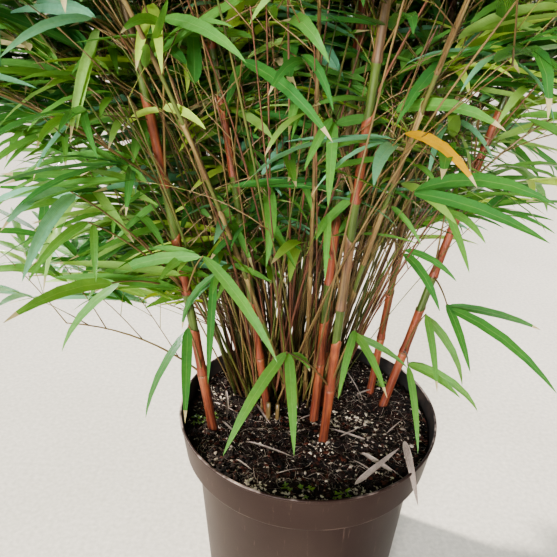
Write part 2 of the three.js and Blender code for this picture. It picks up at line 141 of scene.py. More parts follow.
# Main canes: the name, the foot on the compost in X and Y, the way it leans, its lean at the foot, how
# much further it has leaned at its tip, the length, the foot's thickness, and the joint and way of each
# side branch
CANE_NUMBERS = ("name", "x", "y", "toward", "lean", "arch", "length", "thick", "sides")
MAIN_CANES = [dict(zip(CANE_NUMBERS, row)) for row in (
    ("left", -102, -26, 195, 7.6, 36, 960, 9.2, [(1, 196), (2, 240), (4, 168)]),
    ("rear_left", -68, 74, 150, 14, 30, 980, 8, [(4, 190)]),
    ("mid_left", -44, 4, 175, 8, 34, 1040, 8, [(1, 262), (4, 236)]),
    ("front", 16, -41, 292, 4.6, 40, 990, 8.9, [(2, 304), (6, 238)]),
    ("centre", 8, -2, 348, 1.8, 26, 1080, 9, [(4, 320)]),
    ("slim", 17, 22, 50, 1, 24, 1050, 6.5, []),
    ("right", 89, 25, 9, 12.4, 32, 960, 8.8, [(1, 318), (3, 352), (5, 336)]),
    ("rear_right", 77, 50, 28, 5, 36, 1010, 8, [(3, 24)]),
    ("back", -12, 86, 98, 9, 34, 1000, 7.6, [(2, 118), (4, 84)]),
    ("back_right", 34, 92, 64, 12, 32, 960, 7.2, [(2, 48)]),
)]
MAIN_JOINT_SPAN = 118

# Thin canes: the source's rule for where they stand and how they fan out
THIN_COUNT = 10
THIN_CENTRE = (0, 46)
THIN_RING = 30
THIN_FIRST = 12
THIN_INNER = 0.45
THIN_THICK = 4.6
THIN_LEAN = 11
THIN_LEAN_MORE = 12
THIN_ARCH = 28
THIN_ARCH_MORE = 14
LONG_THIN = 790
SHORT_THIN = 560
THIN_VARIES = 0.16
THIN_TRIES = 12
THIN_TRY_TURN = 7
THIN_JOINT_SPAN = 96

# The photograph's camera, in the model's frame: its place in millimetres, its tilt and roll in
# degrees, and its focal length in pixels of an image this many pixels wide
IMAGE_SIZE = 557
FOCAL_PIXELS = 600
SENSOR_WIDTH = 36
CAMERA_PLACE = np.array([-37.0, -537.0, 639.0])
CAMERA_PITCH = 25.9
CAMERA_ROLL = 2.05


def camera_axes():
    """The camera's right, up and forward. It looks along +Y, tilted down by its pitch and turned by its
    roll about its own way."""
    pitch, roll = np.radians(CAMERA_PITCH), np.radians(CAMERA_ROLL)
    forward = np.array([0, np.cos(pitch), -np.sin(pitch)])
    level = np.array([1.0, 0, 0])
    steep = np.cross(level, forward)
    return (np.cos(roll) * level + np.sin(roll) * steep,
            np.cos(roll) * steep - np.sin(roll) * level, forward)


def sight(pixel):
    """The camera's ray through a pixel of the photograph."""
    across, upward, forward = camera_axes()
    off = (np.asarray(pixel, float) - IMAGE_SIZE / 2) / FOCAL_PIXELS
    return forward + off[0] * across - off[1] * upward


def at_depth(pixel, y):
    """The place that a pixel shows at a distance from the pot's middle in Y."""
    ray = sight(pixel)
    return CAMERA_PLACE + ray * (y - CAMERA_PLACE[1]) / ray[1]


def at_height(pixel, z):
    """The place that a pixel shows at a height."""
    ray = sight(pixel)
    return CAMERA_PLACE + ray * (z - CAMERA_PLACE[2]) / ray[2]


def at_reach(pixel, root, reach, nearer):
    """The place that a pixel shows at a reach from a root, on this side of it or beyond it: where the ray
    meets a ball round the root, or passes it closest."""
    ray = sight(pixel)
    ray = ray / np.linalg.norm(ray)
    closest = ray @ (root - CAMERA_PLACE)
    spare = reach**2 - np.sum((root - CAMERA_PLACE) ** 2) + closest**2
    return CAMERA_PLACE + ray * (closest + (-1 if nearer else 1) * math.sqrt(max(spare, 0)))


# Chance, directions and limbs


def chance(*keys):
    """A number from 0 to 1 that is always the same for the same keys, for arrays of keys at once: what
    is left after the point of a large multiple of a sine of the last number and the next key."""
    last = 0.5
    for key in keys:
        wave = np.sin(last * 12.9898 + np.asarray(key, float) * 78.233) * 43758.5453
        last = wave - np.floor(wave)
    return last


def between(low, high, *keys):
    return low + (high - low) * chance(*keys)


def stacked(*parts):
    """Numbers and arrays side by side in a new last axis."""
    return np.stack(np.broadcast_arrays(*parts), axis=-1)


def varied(rule, name, *keys):
    """A rule's number, with up to so much more by chance."""
    return rule[name] + rule[name + "_more"] * chance(*keys)


def heading(toward, lean):
    """The direction that leans by so many degrees from upright towards a compass angle."""
    t, l = np.radians(toward), np.radians(lean)
    return stacked(np.cos(t) * np.sin(l), np.sin(t) * np.sin(l), np.cos(l))


def level_side(toward):
    """The level direction that stands square to a compass angle."""
    t = np.radians(toward)
    return stacked(-np.sin(t), np.cos(t), 0.0)


def distances(lines):
    """How far along its line each point lies."""
    steps = np.linalg.norm(np.diff(lines, axis=-2), axis=-1)
    return np.concatenate([np.zeros_like(steps[..., :1]), np.cumsum(steps, axis=-1)], axis=-1)


def sweep(start, toward, lean, arch, length, steps, power):
    """Centre lines of many limbs. Each stays in one upright plane, and its lean grows with a power of
    the way along it: each step goes the way of its own middle."""
    middle = (np.arange(steps) + 0.5) / steps
    bend = np.asarray(lean)[:, None] + np.asarray(arch)[:, None] * middle**power
    moves = heading(np.asarray(toward)[:, None], bend) * (np.asarray(length) / steps)[:, None, None]
    first = np.asarray(start, float)[:, None]
    return np.concatenate([first, first + np.cumsum(moves, axis=1)], axis=1)


def along(lines, number, share):
    """The point at a share of the length of the numbered line."""
    last = lines.shape[1] - 1
    place = np.clip(share, 0, 1) * last
    i = np.minimum(place.astype(int), last - 1)
    part = (place - i)[:, None]
    return lines[number, i] * (1 - part) + lines[number, i + 1] * part


def joint_place(span, k):
    """Distance along a cane of its joints, which crowd together near the foot."""
    return span * (k - JOINT_CROWDING * (1 - np.exp(-k / JOINTS_CROWDED)))


def cane_radius(cane, s):
    """A cane's radius at a distance from its foot: it thins with a power of the way, and its foot flares."""
    share = 1 - (1 - TIP_SHARE) * (np.maximum(s, 0) / cane["length"]) ** TAPER_POWER
    flare = FOOT_FLARE - (FOOT_FLARE - 1) * np.clip(s / FOOT_HEIGHT, 0, 1)
    return cane["thick"] / 2 * share * flare


def cane_lines(cane):
    """A cane's centre line and the line of the stem that carries its tip on, each evenly spaced."""
    foot = [[cane["x"], cane["y"], COMPOST_TOP + GAP]]
    path = sweep(foot, [cane["toward"]], [cane["lean"]], [cane["arch"]], np.array([cane["length"]]),
                 CANE_STEPS, CANE_POWER)
    bent = cane["arch"] * BARE_SHARE**CANE_POWER
    start = along(path, np.array([0]), np.array([BARE_SHARE]))
    start = start + GAP * heading(cane["toward"], cane["lean"] + bent)
    stem = sweep(start, [cane["toward"]], [cane["lean"] + bent], [cane["arch"] - bent + TIP_DROOP],
                 np.array([cane["length"] * (1 - BARE_SHARE)]), TIP_STEM_STEPS, STEM_POWER)
    return path[0], stem[0]


def with_line(cane):
    """The cane with its whole line from foot to tip, the distance of each of its points from the foot,
    and the places of its joints."""
    path, stem = cane_lines(cane)
    bare = int(BARE_SHARE * CANE_STEPS)
    line = np.concatenate([path[: bare + 1], stem[1:]])
    far = distances(line)
    joints = joint_place(cane["span"], np.arange(1, MOST_JOINTS))
    joints = joints[joints < far[-1] - LAST_JOINT]
    return {**cane, "line": line, "far": far, "joints": joints, "bare": path[: bare + 1], "stem": stem}


def cane_at(cane, s):
    """The points of a cane's centre line at distances from its foot, and its direction there. Below the
    foot the line runs straight on down."""
    s = np.asarray(s, float)
    inside = np.clip(s, 0, cane["far"][-1])
    point, before, after = (stacked(*(np.interp(inside + off, cane["far"], axis) for axis in cane["line"].T))
                            for off in (0, -NEAR, NEAR))
    way = (after - before) / np.linalg.norm(after - before, axis=-1, keepdims=True)
    return point + (s - inside)[..., None] * way, way


def distance_to_line(points, line):
    """Least distance of each point to a line of joined points."""
    a, b = line[:-1], line[1:]
    ab = b - a
    t = np.einsum("nsk,sk->ns", points[:, None] - a, ab) / np.einsum("sk,sk->s", ab, ab)
    nearest = a + np.clip(t, 0, 1)[..., None] * ab
    return np.linalg.norm(points[:, None] - nearest, axis=-1).min(axis=1)


def side_to_side(attempt):
    """0, 1, -1, 2, -2 and so on."""
    return math.ceil(attempt / 2) * (1 if attempt % 2 else -1)


def thin_cane(i, attempt):
    toward = THIN_FIRST + 360 / THIN_COUNT * i + THIN_TRY_TURN * side_to_side(attempt)
    out = THIN_RING * (THIN_INNER + (1 - THIN_INNER) * chance(i, 1, attempt))
    return dict(
        name=f"thin_{i + 1}",
        x=THIN_CENTRE[0] + out * math.cos(math.radians(toward)),
        y=THIN_CENTRE[1] + out * math.sin(math.radians(toward)),
        toward=toward,
        lean=THIN_LEAN + THIN_LEAN_MORE * chance(i, 2),
        arch=THIN_ARCH + THIN_ARCH_MORE * chance(i, 3),
        length=(SHORT_THIN if i % 2 else LONG_THIN) * (1 + THIN_VARIES * (chance(i, 4) - 0.5)),
        thick=THIN_THICK,
        span=THIN_JOINT_SPAN,
        sides=[],
    )


def grow_thin_canes(standing):
    """Thin canes by the source's rule: one that would touch a cane that stands is turned a little."""
    grown = []
    for i in range(THIN_COUNT):
        for attempt in range(THIN_TRIES):
            cane = with_line(thin_cane(i, attempt))
            clear = [distance_to_line(cane["bare"], other["bare"]).min()
                     > (cane["thick"] + other["thick"]) / 2 + CLEARANCE for other in standing + grown]
            if all(clear):
                grown.append(cane)
                break
    return grown


COMPOST_TOP = POT_HIGH.z / MM - COMPOST_DROP
CANES = [with_line({**cane, "span": MAIN_JOINT_SPAN}) for cane in MAIN_CANES]
THIN_CANES = grow_thin_canes(CANES)


# Surfaces from arrays


class Surface:
    """Points in millimetres and faces gathered for one piece. A face is a row of three or four corner
    numbers, with a pair of map coordinates for each corner, and the number of its material, its look."""

    def __init__(self):
        self.points, self.faces, self.count = [], [], 0

    def add(self, points, faces, uv, look):
        self.add_points(points)
        self.add_faces(faces, uv, look)

    def add_points(self, points):
        self.points.append(points.reshape(-1, 3))
        self.count += len(self.points[-1])

    def add_faces(self, faces, uv, look):
        """More faces on the points that were added last."""
        before = self.count - len(self.points[-1])
        self.faces.append((faces + before, uv, look))

    def piece(self, name, looks, slot, replaces=(), smooth=True):
        mesh = bpy.data.meshes.new(name)
        points = np.concatenate(self.points) * MM
        corners = np.concatenate([faces.ravel() for faces, _, _ in self.faces])
        sizes = np.concatenate([np.full(len(faces), faces.shape[1]) for faces, _, _ in self.faces])
        look = np.concatenate([np.broadcast_to(look, len(faces)) for faces, _, look in self.faces])
        uv = np.concatenate([pairs.reshape(-1, 2) for _, pairs, _ in self.faces])
        mesh.vertices.add(len(points))
        mesh.vertices.foreach_set("co", points.astype(np.float32).ravel())
        mesh.loops.add(len(corners))
        mesh.loops.foreach_set("vertex_index", corners.astype(np.int32))
        mesh.polygons.add(len(sizes))
        mesh.polygons.foreach_set("loop_start", (np.cumsum(sizes) - sizes).astype(np.int32))
        for material in looks:
            mesh.materials.append(material)
        mesh.polygons.foreach_set("material_index", look.astype(np.int32))
        mesh.polygons.foreach_set("use_smooth", np.full(len(sizes), smooth))
        mesh.uv_layers.new(name="UVMap").data.foreach_set("uv", uv.astype(np.float32).ravel())
        mesh.update(calc_edges=True)
        mesh.validate()
        return place(bpy.data.objects.new(name, mesh), slot, replaces)


def place(piece, slot, replaces=()):
    """Links a finished piece, which rides on the one body and may stand for nodes of the model."""
    bpy.context.scene.collection.objects.link(piece)
    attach(piece, BODY)
    if replaces:
        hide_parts(*replaces)
    return piece


def cells(rows, columns):
    """The row's and the column's number of each cell of a table, row by row."""
    return (table.ravel() for table in np.indices((rows, columns)))


def grid_quads(rows, columns, closed):
    """The quads of a grid of points, row by row, and the row and column of each corner. A closed grid
    joins its last column to its first."""
    across = columns if closed else columns - 1
    r, c = cells(rows - 1, across)
    row, column = stacked(r, r, r + 1, r + 1), stacked(c, c + 1, c + 1, c)
    return row * columns + column % columns, row, column


def repeated(faces, copies, stride):
    """The same faces for each of many copies whose points follow each other."""
    return (faces[None] + (np.arange(copies) * stride)[:, None, None]).reshape(-1, faces.shape[1])


def full_turn(count):
    """Even angles round a circle."""
    return np.arange(count) / count * 2 * np.pi


def add_skins(surface, rings, ends, v, look=0):
    """Closed skins, all at once: rings of points (skins, rings, sides, 3), which run anticlockwise about
    the way from one to the next, and the points that close both ends (skins, 2, 3). The map goes once
    round in u, and v (skins, rings) is given. A look may be given for each row of faces."""
    count, rows, sides = rings.shape[:3]
    stride, last = rows * sides + 2, (rows - 1) * sides
    look = np.broadcast_to(look, rows - 1)
    surface.add_points(np.concatenate([rings.reshape(count, -1, 3), ends], axis=1))
    quads, row, column = grid_quads(rows, sides, True)
    surface.add_faces(repeated(quads, count, stride), stacked(column / sides, v[:, row]),
                      np.tile(look[row[:, 0]], count))
    c = np.arange(sides)
    turned = (c + 1) % sides
    flat = stacked(c, c + 1, c + 0.5) / sides
    for end, corners in ((0, (turned, c, stride - 2)), (-1, (last + c, last + turned, stride - 1))):
        surface.add_faces(repeated(stacked(*corners), count, stride), stacked(flat, v[:, end, None, None]),
                          look[end])


def add_tubes(surface, lines, radii, toward, sides, look=0):
    """Closed round limbs: a circle of so many sides is carried along each line, square to its way, with
    a radius at each point, and a point closes each end. lines is (limbs, rings, 3) and radii is
    (limbs, rings), or (limbs, rings, sides) for a section that isn't round."""
    way = np.gradient(lines, axis=1)
    way = way / np.linalg.norm(way, axis=-1, keepdims=True)
    side = np.broadcast_to(level_side(toward)[:, None], way.shape)
    out = np.cross(side, way)
    turn = full_turn(sides)
    around = out[:, :, None] * np.cos(turn)[:, None] + side[:, :, None] * np.sin(turn)[:, None]
    radii = radii if radii.ndim == 3 else radii[:, :, None]
    ends = np.stack([lines[:, 0] - way[:, 0] * 0.2, lines[:, -1] + way[:, -1] * 0.6], axis=1)
    add_skins(surface, lines[:, :, None] + around * radii[..., None], ends, distances(lines) * MM, look)


def lathe(surface, profile, sides, look):
    """A profile of radius and height carried once round the upright axis, and closed on the axis at the
    heights of its ends. Faces point to the right of the profile's way."""
    profile = np.asarray(profile, float)
    radius, height, turn = profile[:, :1], profile[:, 1:], full_turn(sides)
    rings = stacked(radius * np.cos(turn), radius * np.sin(turn), height)
    ends = stacked(0.0, 0.0, height[[0, -1], 0])
    add_skins(surface, rings[None], ends[None], distances(profile)[None] * MM, look)


def smooth_noise(x, y, size, seed):
    """Value noise: chance at the corners of squares of a size, blended by smooth steps, from -1 to 1."""
    x, y = np.asarray(x) / size, np.asarray(y) / size
    i, j = np.floor(x), np.floor(y)
    fx, fy = x - i, y - j
    fx, fy = fx * fx * (3 - 2 * fx), fy * fy * (3 - 2 * fy)
    low = chance(i, j, seed) * (1 - fx) + chance(i + 1, j, seed) * fx
    high = chance(i, j + 1, seed) * (1 - fx) + chance(i + 1, j + 1, seed) * fx
    return 2 * (low * (1 - fy) + high * fy) - 1


# The compost's lumps: how high and how wide
LUMPS = ((2.6, 46), (2.2, 19), (1.9, 8), (1.2, 3.6))


def compost_height(x, y):
    """How high the compost lies: level, falling off near the wall, with lumps of four sizes."""
    out = np.hypot(x, y)
    edge = inner_radius(COMPOST_TOP) - 2 * GAP
    fall = FILL_LIP * np.clip((out - edge + FILL_SLOPE) / FILL_SLOPE, 0, 1)
    lumps = sum(high * smooth_noise(x, y, wide, seed) for seed, (high, wide) in enumerate(LUMPS, 1))
    return COMPOST_TOP - fall + lumps


def inner_radius(height):
    """The pot's inner radius at a height in its collar."""
    share = (height - (POT_HIGH.z / MM - COLLAR_HEIGHT)) / COLLAR_HEIGHT
    return COLLAR_FOOT_RADIUS - WALL + share * (POT_HIGH.x / MM - COLLAR_FOOT_RADIUS)


# Materials


def linear(hexed):
    """A colour as it shows, written as six hexadecimal digits, as the linear numbers of light."""
    shown = np.array([int(hexed[i: i + 2], 16) for i in (0, 2, 4)]) / 255
    light = np.where(shown <= 0.04045, shown / 12.92, ((shown + 0.055) / 1.055) ** 2.4)
    return tuple(float(v) for v in light)


def colour_property(name, description, hexed):
    return FloatVectorProperty(name=name, description=description, default=linear(hexed), subtype="COLOR",
                               size=3, min=0, max=1)


def feed(tree, socket, value):
    """Links a socket to an input, or sets its value. A colour may be given by its hexadecimal digits."""
    if isinstance(value, bpy.types.NodeSocket):
        tree.links.new(value, socket)
    elif socket.type == "RGBA":
        socket.default_value = (*(linear(value) if isinstance(value, str) else value), 1)
    else:
        socket.default_value = value


def node(tree, kind, settings=(), **inputs):
    """A node with its settings and its inputs' values or links, by their names with _ for spaces, or by
    their numbers after an i."""
    made = tree.nodes.new(kind)
    for key, value in dict(settings).items():
        setattr(made, key, value)
    for key, value in inputs.items():
        numbered = key[0] == "i" and key[1:].isdigit()
        feed(tree, made.inputs[int(key[1:]) if numbered else key.replace("_", " ")], value)
    return made


def maths(tree, operation, a, b=0.0, clamp=False):
    return node(tree, "ShaderNodeMath", {"operation": operation, "use_clamp": clamp}, i0=a, i1=b).outputs[0]


def times(tree, a, b):
    return maths(tree, "MULTIPLY", a, b)


def mixed(tree, share, a, b, how="MIX"):
    """One colour turned towards another by a share."""
    return node(tree, "ShaderNodeMix", {"data_type": "RGBA", "blend_type": how}, i0=share, i6=a,
                i7=b).outputs[2]


def spread_of(tree, value, low, high):
    """A mask that runs from 0 to 1 as a value runs from low to high."""
    return node(tree, "ShaderNodeMapRange", {"interpolation_type": "SMOOTHSTEP"}, Value=value, From_Min=low,
                From_Max=high).outputs[0]


def noise(tree, coordinates, stretch, detail=3.0, roughness=0.55):
    """Noise on coordinates that are stretched by three numbers first."""
    mapped = node(tree, "ShaderNodeMapping", {"vector_type": "POINT"}, Vector=coordinates, Scale=stretch)
    return node(tree, "ShaderNodeTexNoise", Vector=mapped.outputs[0], Scale=1.0, Detail=detail,
                Roughness=roughness).outputs["Fac"]


def own_map(tree):
    """A piece's own map, and its u and v."""
    uv = node(tree, "ShaderNodeUVMap", {"uv_map": "UVMap"}).outputs[0]
    split = node(tree, "ShaderNodeSeparateXYZ", Vector=uv)
    return uv, split.outputs[0], split.outputs[1]


def own_place(tree):
    """The place on a piece, and its height."""
    where = node(tree, "ShaderNodeTexCoord").outputs["Object"]
    return where, node(tree, "ShaderNodeSeparateXYZ", Vector=where).outputs[2]


def place_effect(tree, build, **inputs):
    """The colour and height that an effect puts out in a material, with the material's own values. Its
    node group is built the first time it is placed, with an input for each value's name: build(group,
    given) takes those inputs and gives the colour and the height."""
    group = bpy.data.node_groups.get(build.__name__)
    if group is None:
        group = bpy.data.node_groups.new(build.__name__, "ShaderNodeTree")
        labels = [("INPUT", key.replace("_", " ")) for key in inputs]
        for way, label in labels + [("OUTPUT", "Colour"), ("OUTPUT", "Height")]:
            kind = "NodeSocketColor" if "Colour" in label else "NodeSocketFloat"
            group.interface.new_socket(label, in_out=way, socket_type=kind)
        given, out = group.nodes.new("NodeGroupInput"), group.nodes.new("NodeGroupOutput")
        for socket, value in zip(out.inputs, build(group, given.outputs)):
            feed(group, socket, value)
    made = node(tree, "ShaderNodeGroup", {"node_tree": group}, **inputs)
    return made.outputs["Colour"], made.outputs["Height"]


def mottled(group, given):
    """Colour that drifts a little over a piece in soft patches and fine specks."""
    where, _ = own_place(group)
    patch, speck = (node(group, "ShaderNodeTexNoise", Vector=where, Scale=given[scale],
                         Detail=detail).outputs["Fac"]
                    for scale, detail in (("Patch Scale", 3.0), ("Speck Scale", 2.0)))
    share = times(group, spread_of(group, patch, 0.38, 0.66), given["Patches"])
    light = maths(group, "ADD", times(group, speck, 0.5), 0.75)
    grey = node(group, "ShaderNodeCombineColor", Red=light, Green=light, Blue=light).outputs[0]
    colour = mixed(group, share, given["Colour"], given["Patch Colour"])
    return mixed(group, 1.0, colour, grey, "MULTIPLY"), speck


def fibres(group, given):
    """Fine streaks along a piece's map, across u and along v, as on cane, sheath and dry blade."""
    _, u, v = own_map(group)
    turn = times(group, u, 2 * math.pi)
    x, y = (times(group, maths(group, wave, turn), given["Across"]) for wave in ("COSINE", "SINE"))
    where = node(group, "ShaderNodeCombineXYZ", X=x, Y=y, Z=times(group, v, given["Along"])).outputs[0]
    streak = node(group, "ShaderNodeTexNoise", Vector=where, Scale=1.0, Detail=4.0,
                  Roughness=0.6).outputs["Fac"]
    share = times(group, spread_of(group, streak, 0.4, 0.7), given["Streaks"])
    return mixed(group, share, given["Colour"], given["Streak Colour"]), streak


def blade_veins(group, given):
    """A leaf's map: a pale rib along the middle of u, and fine veins side by side across it."""
    uv, u, _ = own_map(group)
    off = maths(group, "ABSOLUTE", maths(group, "SUBTRACT", u, 0.5))
    rib = maths(group, "SUBTRACT", 1.0, spread_of(group, off, 0.012, 0.05), clamp=True)
    wave = maths(group, "COSINE", times(group, u, 2 * math.pi * VEINS_ACROSS))
    drift = noise(group, uv, (5.0, 14.0, 1.0))
    vein = times(group, maths(group, "ADD", times(group, wave, 0.25), drift), given["Veins"])
    darker = mixed(group, vein, given["Colour"], (0.0, 0.0, 0.0))
    colour = mixed(group, times(group, rib, 0.2), darker, given["Rib Colour"])
    return colour, maths(group, "SUBTRACT", times(group, wave, 0.4), rib)


def patches(colour, share, scale, speck_scale):
    """A layer of soft patches and fine specks."""
    return mottled, dict(Patch_Colour=colour, Patches=share, Patch_Scale=scale, Speck_Scale=speck_scale)


def streaks(colour, share, across, along):
    """A layer of fine streaks."""
    return fibres, dict(Streak_Colour=colour, Streaks=share, Across=across, Along=along)


def finish_material(name, rough, bump, depth, colour, *layers, gloss=0.5, over=None):
    """A new material with a bump, and layers on its colour, each on what the one before puts out. The
    colour may be made by a function of the node tree, and over(tree, colour) adds what lies on top."""
    material = bpy.data.materials.new(name)
    material.use_nodes = True
    tree = material.node_tree
    shader = tree.nodes["Principled BSDF"]
    shader.inputs["Roughness"].default_value = rough
    shader.inputs["Specular IOR Level"].default_value = gloss
    colour = colour(tree) if callable(colour) else colour
    for build, values in layers:
        colour, height = place_effect(tree, build, Colour=colour, **values)
    feed(tree, shader.inputs["Base Color"], over(tree, colour) if over else colour)
    bumped = node(tree, "ShaderNodeBump", Strength=bump, Distance=depth * MM, Height=height)
    feed(tree, shader.inputs["Normal"], bumped.outputs[0])
    return material


def pot_material(look):
    """Moulded plastic: a soft sheen, fine grain, scratches, dust low down, and painted highlights along the
    rim's top edge and the collar's foot.
    """
    def worn(tree, colour):
        where, height = own_place(tree)
        scratch = spread_of(tree, noise(tree, where, (260.0, 260.0, 22.0), 4.0, 0.65), 0.62, 0.74)
        splash = spread_of(tree, height, 0.05, 0.0)
        broken = spread_of(tree, noise(tree, where, (34.0, 34.0, 34.0)), 0.45, 0.68)
        # painted highlight: a broken pale line along the rim's top edge, in the rim edge colour
        edge = times(tree, spread_of(tree, height, POT_HIGH.z - 0.0016, POT_HIGH.z), broken)
        # painted highlight: a thin broken pale line along the collar's foot, in the scuff colour
        lip_height = POT_HIGH.z - (COLLAR_HEIGHT - 1.2) * MM
        off_lip = maths(tree, "ABSOLUTE", maths(tree, "SUBTRACT", height, lip_height))
        lip_highlight = times(tree, spread_of(tree, off_lip, 0.0014, 0.0003), broken)
        for mask, share, wear in ((scratch, 0.35, look.scuff), (splash, 0.35, look.dust),
                                  (edge, 0.8, look.edge), (lip_highlight, 0.5, look.scuff)):
            colour = mixed(tree, times(tree, mask, share), colour, wear)
        return colour
    return finish_material("pot_outside", 0.42, 0.25, 0.15, look.outer, patches(look.dust, 0.4, 14.0, 900.0),
                           gloss=0.2, over=worn)


def plain_material(name, colour, other, rough, patch_scale, speck_scale, depth, share=0.8, gloss=0.2):
    """Mottled matter with no grain: compost, crumbs and grit."""
    return finish_material(name, rough, 0.8, depth, colour, patches(other, share, patch_scale, speck_scale),
                           gloss=gloss)


def cane_material(name, colour, streak, patch, rough):
    """Cane wood: a waxy skin with fine streaks along it and drifting tint."""
    return finish_material(name, rough, 0.35, 0.25, colour, patches(patch, 0.75, 26.0, 260.0),
                           streaks(streak, 0.55, 3.0, 9.0))


def sheath_material(name, low, high, streak, band):
    """A papery sheath: a dark line at its foot, then deep colour that pales to its dry edge, with ribs
    along it. Near the compost it is darker. Its map runs from 0 at the foot to 1 at the top."""
    def fading(tree):
        _, _, v = own_map(tree)
        _, height = own_place(tree)
        soil = COMPOST_TOP * MM
        fade = mixed(tree, spread_of(tree, v, 0.1, 1.0), low, high)
        fade = mixed(tree, spread_of(tree, v, 0.016, 0.008), fade, band)
        return mixed(tree, times(tree, spread_of(tree, height, soil + 0.06, soil), 0.85), fade, band)
    return finish_material(name, 0.55, 0.7, 0.35, fading, patches(streak, 0.7, 55.0, 420.0),
                           streaks(band, 0.8, 1.4, 1.3), streaks(high, 0.6, 3.6, 2.2))


# The wax on a leaf, which gives it its pale highlights, the light that shines through it, and its veins
LEAF_COAT = 0.42
LEAF_COAT_ROUGHNESS = 0.2
LEAF_SHINE_THROUGH = 0.34
LEAF_VEINS = 0.42
LEAF_RIB = "B8CC7A"
VEINS_ACROSS = 11


def leaf_material(name, colour, through, rib, rough):
    """A leaf: a satin blade with a pale rib and fine veins, which lets some light through."""
    material = finish_material(name, rough, 0.25, 0.3, colour, patches(through, 0.3, 34.0, 320.0),
                               (blade_veins, dict(Rib_Colour=rib, Veins=LEAF_VEINS)))
    tree = material.node_tree
    shader = tree.nodes["Principled BSDF"]
    shader.inputs["Coat Weight"].default_value = LEAF_COAT
    shader.inputs["Coat Roughness"].default_value = LEAF_COAT_ROUGHNESS
    lit = node(tree, "ShaderNodeBsdfTranslucent", Color=through)
    both = node(tree, "ShaderNodeMixShader", Fac=LEAF_SHINE_THROUGH, i1=shader.outputs[0], i2=lit.outputs[0])
    feed(tree, tree.nodes["Material Output"].inputs["Surface"], both.outputs[0])
    return material


# The pot


class PotLook(PropertyGroup):
    height: FloatProperty(name="Height", description="From the underside to the rim", unit="LENGTH",
                          default=POT_HIGH.z)
    rim: FloatProperty(name="Rim radius", description="Outer radius of the rim", unit="LENGTH",
                       default=POT_HIGH.x)
    sides: IntProperty(name="Sides", description="Faces round the pot", default=144, min=24)
    outer: colour_property("Outside", "The plastic's colour outside", "2A1B17")
    dust: colour_property("Dust", "Dust and splashes on the plastic", "3A2C26")
    # painted highlight: the scuff colour also paints the thin highlight along the collar's foot
    scuff: colour_property("Scuffs", "Scratches and the collar's worn edge", "6E5A50")
    # painted highlight: the rim edge colour is painted as a broken highlight along the rim's top
    edge: colour_property("Rim edge", "The rim's worn edge", "D2BDB2")
    inner: colour_property("Inside", "The plastic's colour inside", "1B1817")
    soil_film: colour_property("Film", "Dry compost on the inside", "3A2E27")


class BAMBOO_OT_pot(Operator):
    """Build the pot with its collar, rim and drain holes"""

    bl_idname = "bamboo.pot"
    bl_label = "Pot"

    def execute(self, context):
        look = context.scene.bamboo_pot
        height, rim = look.height / MM, look.rim / MM
        foot, wall_top = height - COLLAR_HEIGHT, COLLAR_FOOT_RADIUS - COLLAR_STEP
        outside = [
            (BASE_RADIUS - BASE_EDGE, 0), (BASE_RADIUS - 0.8, 0.8), (BASE_RADIUS, BASE_EDGE),
            (wall_top - 0.1, foot - 2.6), (wall_top + 0.5, foot - 0.8), (wall_top + 2.2, foot),
            (COLLAR_FOOT_RADIUS - 1.6, foot), (COLLAR_FOOT_RADIUS - 0.4, foot + 0.5),
            (COLLAR_FOOT_RADIUS + 0.1, foot + 1.6), (COLLAR_FOOT_RADIUS + 0.3, foot + 3.2),
            (rim - RIM_LIP, height - BASE_EDGE - 0.3), (rim - 0.25, height - BASE_EDGE),
            (rim, height - BASE_EDGE + 0.4), (rim, height - 0.6), (rim - 0.4, height - 0.1),
            (rim - 0.9, height), (rim - WALL + 0.7, height), (rim - WALL + 0.2, height - 0.2),
            (rim - WALL, height - 0.7),
        ]
        inside = [(inner_radius(foot + WALL), foot + WALL), (wall_top - WALL, foot + WALL),
                  (BASE_RADIUS - WALL, FLOOR)]
        pot = Surface()
        lathe(pot, outside + inside, look.sides, [0] * (len(outside) - 1) + [1] * len(inside))
        film = finish_material("pot_inside", 0.6, 0.3, 0.2, look.inner,
                               patches(look.soil_film, 0.7, 45.0, 700.0))
        drill_pot(pot.piece("pot_tub", [pot_material(look), film], "pot", ["pot"]))
        return {"FINISHED"}


def drill_pot(piece):
    """Cuts the ring of drain holes through the floor, and applies the cut."""
    drill = Surface()
    turn = full_turn(DRAIN_HOLES)
    lines = stacked(*(DRAIN_CIRCLE * wave(turn)[:, None] for wave in (np.cos, np.sin)), [-FLOOR, 2 * FLOOR])
    add_tubes(drill, lines, np.full((DRAIN_HOLES, 2), float(DRAIN_RADIUS)), np.degrees(turn), 32)
    cutter = drill.piece("drain_drill", [], "pot")
    cut = piece.modifiers.new("drain", "BOOLEAN")
    cut.operation, cut.solver, cut.object = "DIFFERENCE", "EXACT", cutter
    evaluated = piece.evaluated_get(bpy.context.evaluated_depsgraph_get())
    drilled = bpy.data.meshes.new_from_object(evaluated)
    piece.modifiers.clear()
    piece.data = drilled
    drilled.shade_smooth()
    bpy.data.objects.remove(cutter)
    sharp = piece.modifiers.new("edges", "EDGE_SPLIT")
    sharp.split_angle = math.radians(60)


# The compost and what lies on it


class CompostLook(PropertyGroup):
    crumbs: IntProperty(name="Crumbs", description="Loose bits of compost and bark", default=9400, min=0)
    threads: IntProperty(name="Threads", description="Fibres on the compost", default=1300, min=0)
    dark: colour_property("Compost", "Moist compost", "0C0807")
    brown: colour_property("Bark", "Bits of bark", "2B1E19")
    red: colour_property("Fibre", "Reddish fibre", "4C261B")
    pale: colour_property("Straw", "Dry bits and fibres", "A8998A")
    dead: colour_property("Dead blades", "Dead blades on the compost", "84736A")
    grit: colour_property("Grit", "Pale grit", "BDB19D")
    sprout: colour_property("Sprouts", "Seedlings", "5F8038")


def inside_pot(x, y, margin):
    """Places on the level, drawn in to lie at least a margin from the pot's wall."""
    fit = np.minimum(1, (inner_radius(COMPOST_TOP) - margin) / np.hypot(x, y))
    return x * fit, y * fit


